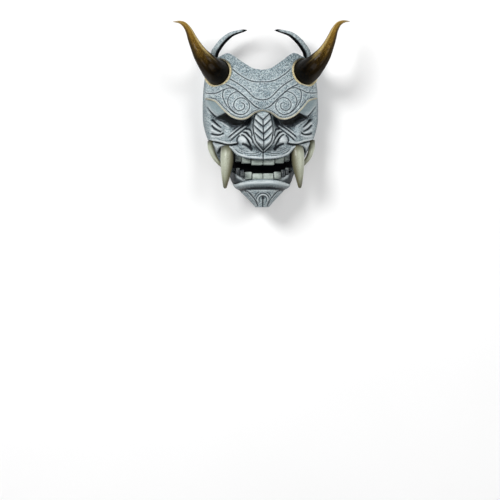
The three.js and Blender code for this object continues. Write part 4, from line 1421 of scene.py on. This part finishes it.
def tusk_material():
    n = Nodes(bpy.data.materials.new("waxed_tusk"))
    along, outer = n.attribute("along"), n.attribute("outer")
    streak, fine = round_fields(n, (0.7, 4.0, 4, 0.55, 0.2), (2.0, 14.0, 3, 0.6))
    cloudy = n.noise(n.place(), 110, 3, 0.6)
    shifted = n.plus(along, n.times(n.less(streak, 0.5), 0.2))
    # The dark start of the ramp is painted shadow where the root goes under the lip.
    colour = n.ramp(shifted, [
        (0.0, srgb(26, 28, 22)), (0.07, srgb(104, 107, 89)), (0.18, srgb(168, 173, 154)),
        (0.42, srgb(180, 185, 167)), (0.7, srgb(150, 154, 133)), (0.88, srgb(106, 108, 88)),
        (1.0, srgb(62, 63, 48)),
    ])
    shaded = n.plus(outer, n.times(n.less(fine, 0.5), 0.5))
    for field, low, high, share, tone in (
        (fine, 0.5, 0.7, 0.5, srgb(112, 111, 86)), (cloudy, 0.5, 0.7, 0.3, srgb(176, 178, 160)),
        (shaded, -0.35, 0.75, 0.85, srgb(88, 82, 52)),
    ):
        colour = n.mix(n.fitted(field, low, high, 0, share), colour, tone)
    return n.surface({
        "Base Color": colour, "Roughness": n.fitted(fine, 0.3, 0.7, 0.34, 0.5),
        "Normal": n.bump(fine, 0.12, 0.0004), "Coat Weight": 0.12, "Coat Roughness": 0.35,
    })


def plain_material(name, colour, roughness):
    n = Nodes(bpy.data.materials.new(name))
    darker = tuple(0.985 * c for c in colour[:3]) + (1.0,)
    clouds = n.fitted(n.noise(n.place(), 3, 2), 0.3, 0.7)
    return n.surface({"Base Color": n.mix(clouds, colour, darker), "Roughness": roughness})


# Floor, lights and camera

FLOOR_HALF = 4.0
VIEW_WIDTH = 0.775
VIEW_DISTANCE = 3.5
VIEW_YAW = math.radians(2.3)
VIEW_ROLL = math.radians(0.4)
VIEW_TARGET = Vector((-0.0202, -0.2116 + SHIFT * MM, 0.060))
SENSOR = 36.0
LIGHT_AIM = (0, 0, 0.05)
SKY = ((0.22, 0.0), (0.4, 0.26), (0.6, 0.26), (0.85, 0.0))


def floor():
    corners = [(-1, -1), (1, -1), (1, 1), (-1, 1)]
    mesh = bpy.data.meshes.new("floor")
    mesh.from_pydata([(x * FLOOR_HALF, y * FLOOR_HALF, 0) for x, y in corners], [], [(0, 1, 2, 3)])
    made = linked("floor", mesh)
    mesh.materials.append(plain_material("pale_floor", srgb(248, 248, 248), 0.8))


def area_light(name, place, size, power):
    """A round light that looks at the middle of the part."""
    data = bpy.data.lights.new(name, "AREA")
    data.shape = "DISK"
    data.size, data.energy = size, power
    light = linked(name, data)
    light.location = place
    light.rotation_euler = (Vector(LIGHT_AIM) - Vector(place)).to_track_quat("-Z", "Y").to_euler()


def studio():
    floor()
    area_light("key", (-1.2, 0.95, 1.75), 0.9, 40)
    area_light("fill", (1.3, 0.7, 1.7), 1.1, 19)
    area_light("front", (-0.9, -1.2, 1.7), 1.2, 10)
    area_light("side", (1.2, -1.1, 1.6), 1.2, 10)
    soft_sky()
    bpy.context.scene.view_settings.view_transform = "Standard"


def soft_sky():
    """Pale light from half way up all round, and none from overhead or from the horizon."""
    world = bpy.data.worlds.new("studio")
    bpy.context.scene.world = world
    n = Nodes(world)
    height = n.node("ShaderNodeSeparateXYZ", {0: n.place("Generated")}, "Z")
    level = n.ramp(height, [(place, (share, share, share, 1)) for place, share in SKY])
    n.link(level, n.tree.nodes["Background"].inputs["Color"])


def camera():
    data = bpy.data.cameras.new("camera")
    data.sensor_width = SENSOR
    data.lens = SENSOR * VIEW_DISTANCE / VIEW_WIDTH
    data.clip_end = 50
    made = linked("camera", data)
    turn = Matrix.Rotation(-VIEW_YAW, 4, "Y") @ Matrix.Rotation(-VIEW_ROLL, 4, "Z")
    made.matrix_world = Matrix.Translation(VIEW_TARGET) @ turn @ Matrix.Translation((0, 0, VIEW_DISTANCE))
    bpy.context.scene.camera = made


def main():
    skin = mask_skin()
    skin.data.materials.clear()
    skin.data.materials.append(skin_material())
    skin.data.shade_smooth()
    skin.data.set_sharp_from_angle(angle=math.radians(50))
    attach(skin, "root")
    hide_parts("mask_skin")
    horn, tusk = horn_material(), tusk_material()
    for node, piece in horns_and_tusks().items():
        piece.data.materials.append(horn if node.startswith("horn") else tusk)
    studio()
    camera()


main()
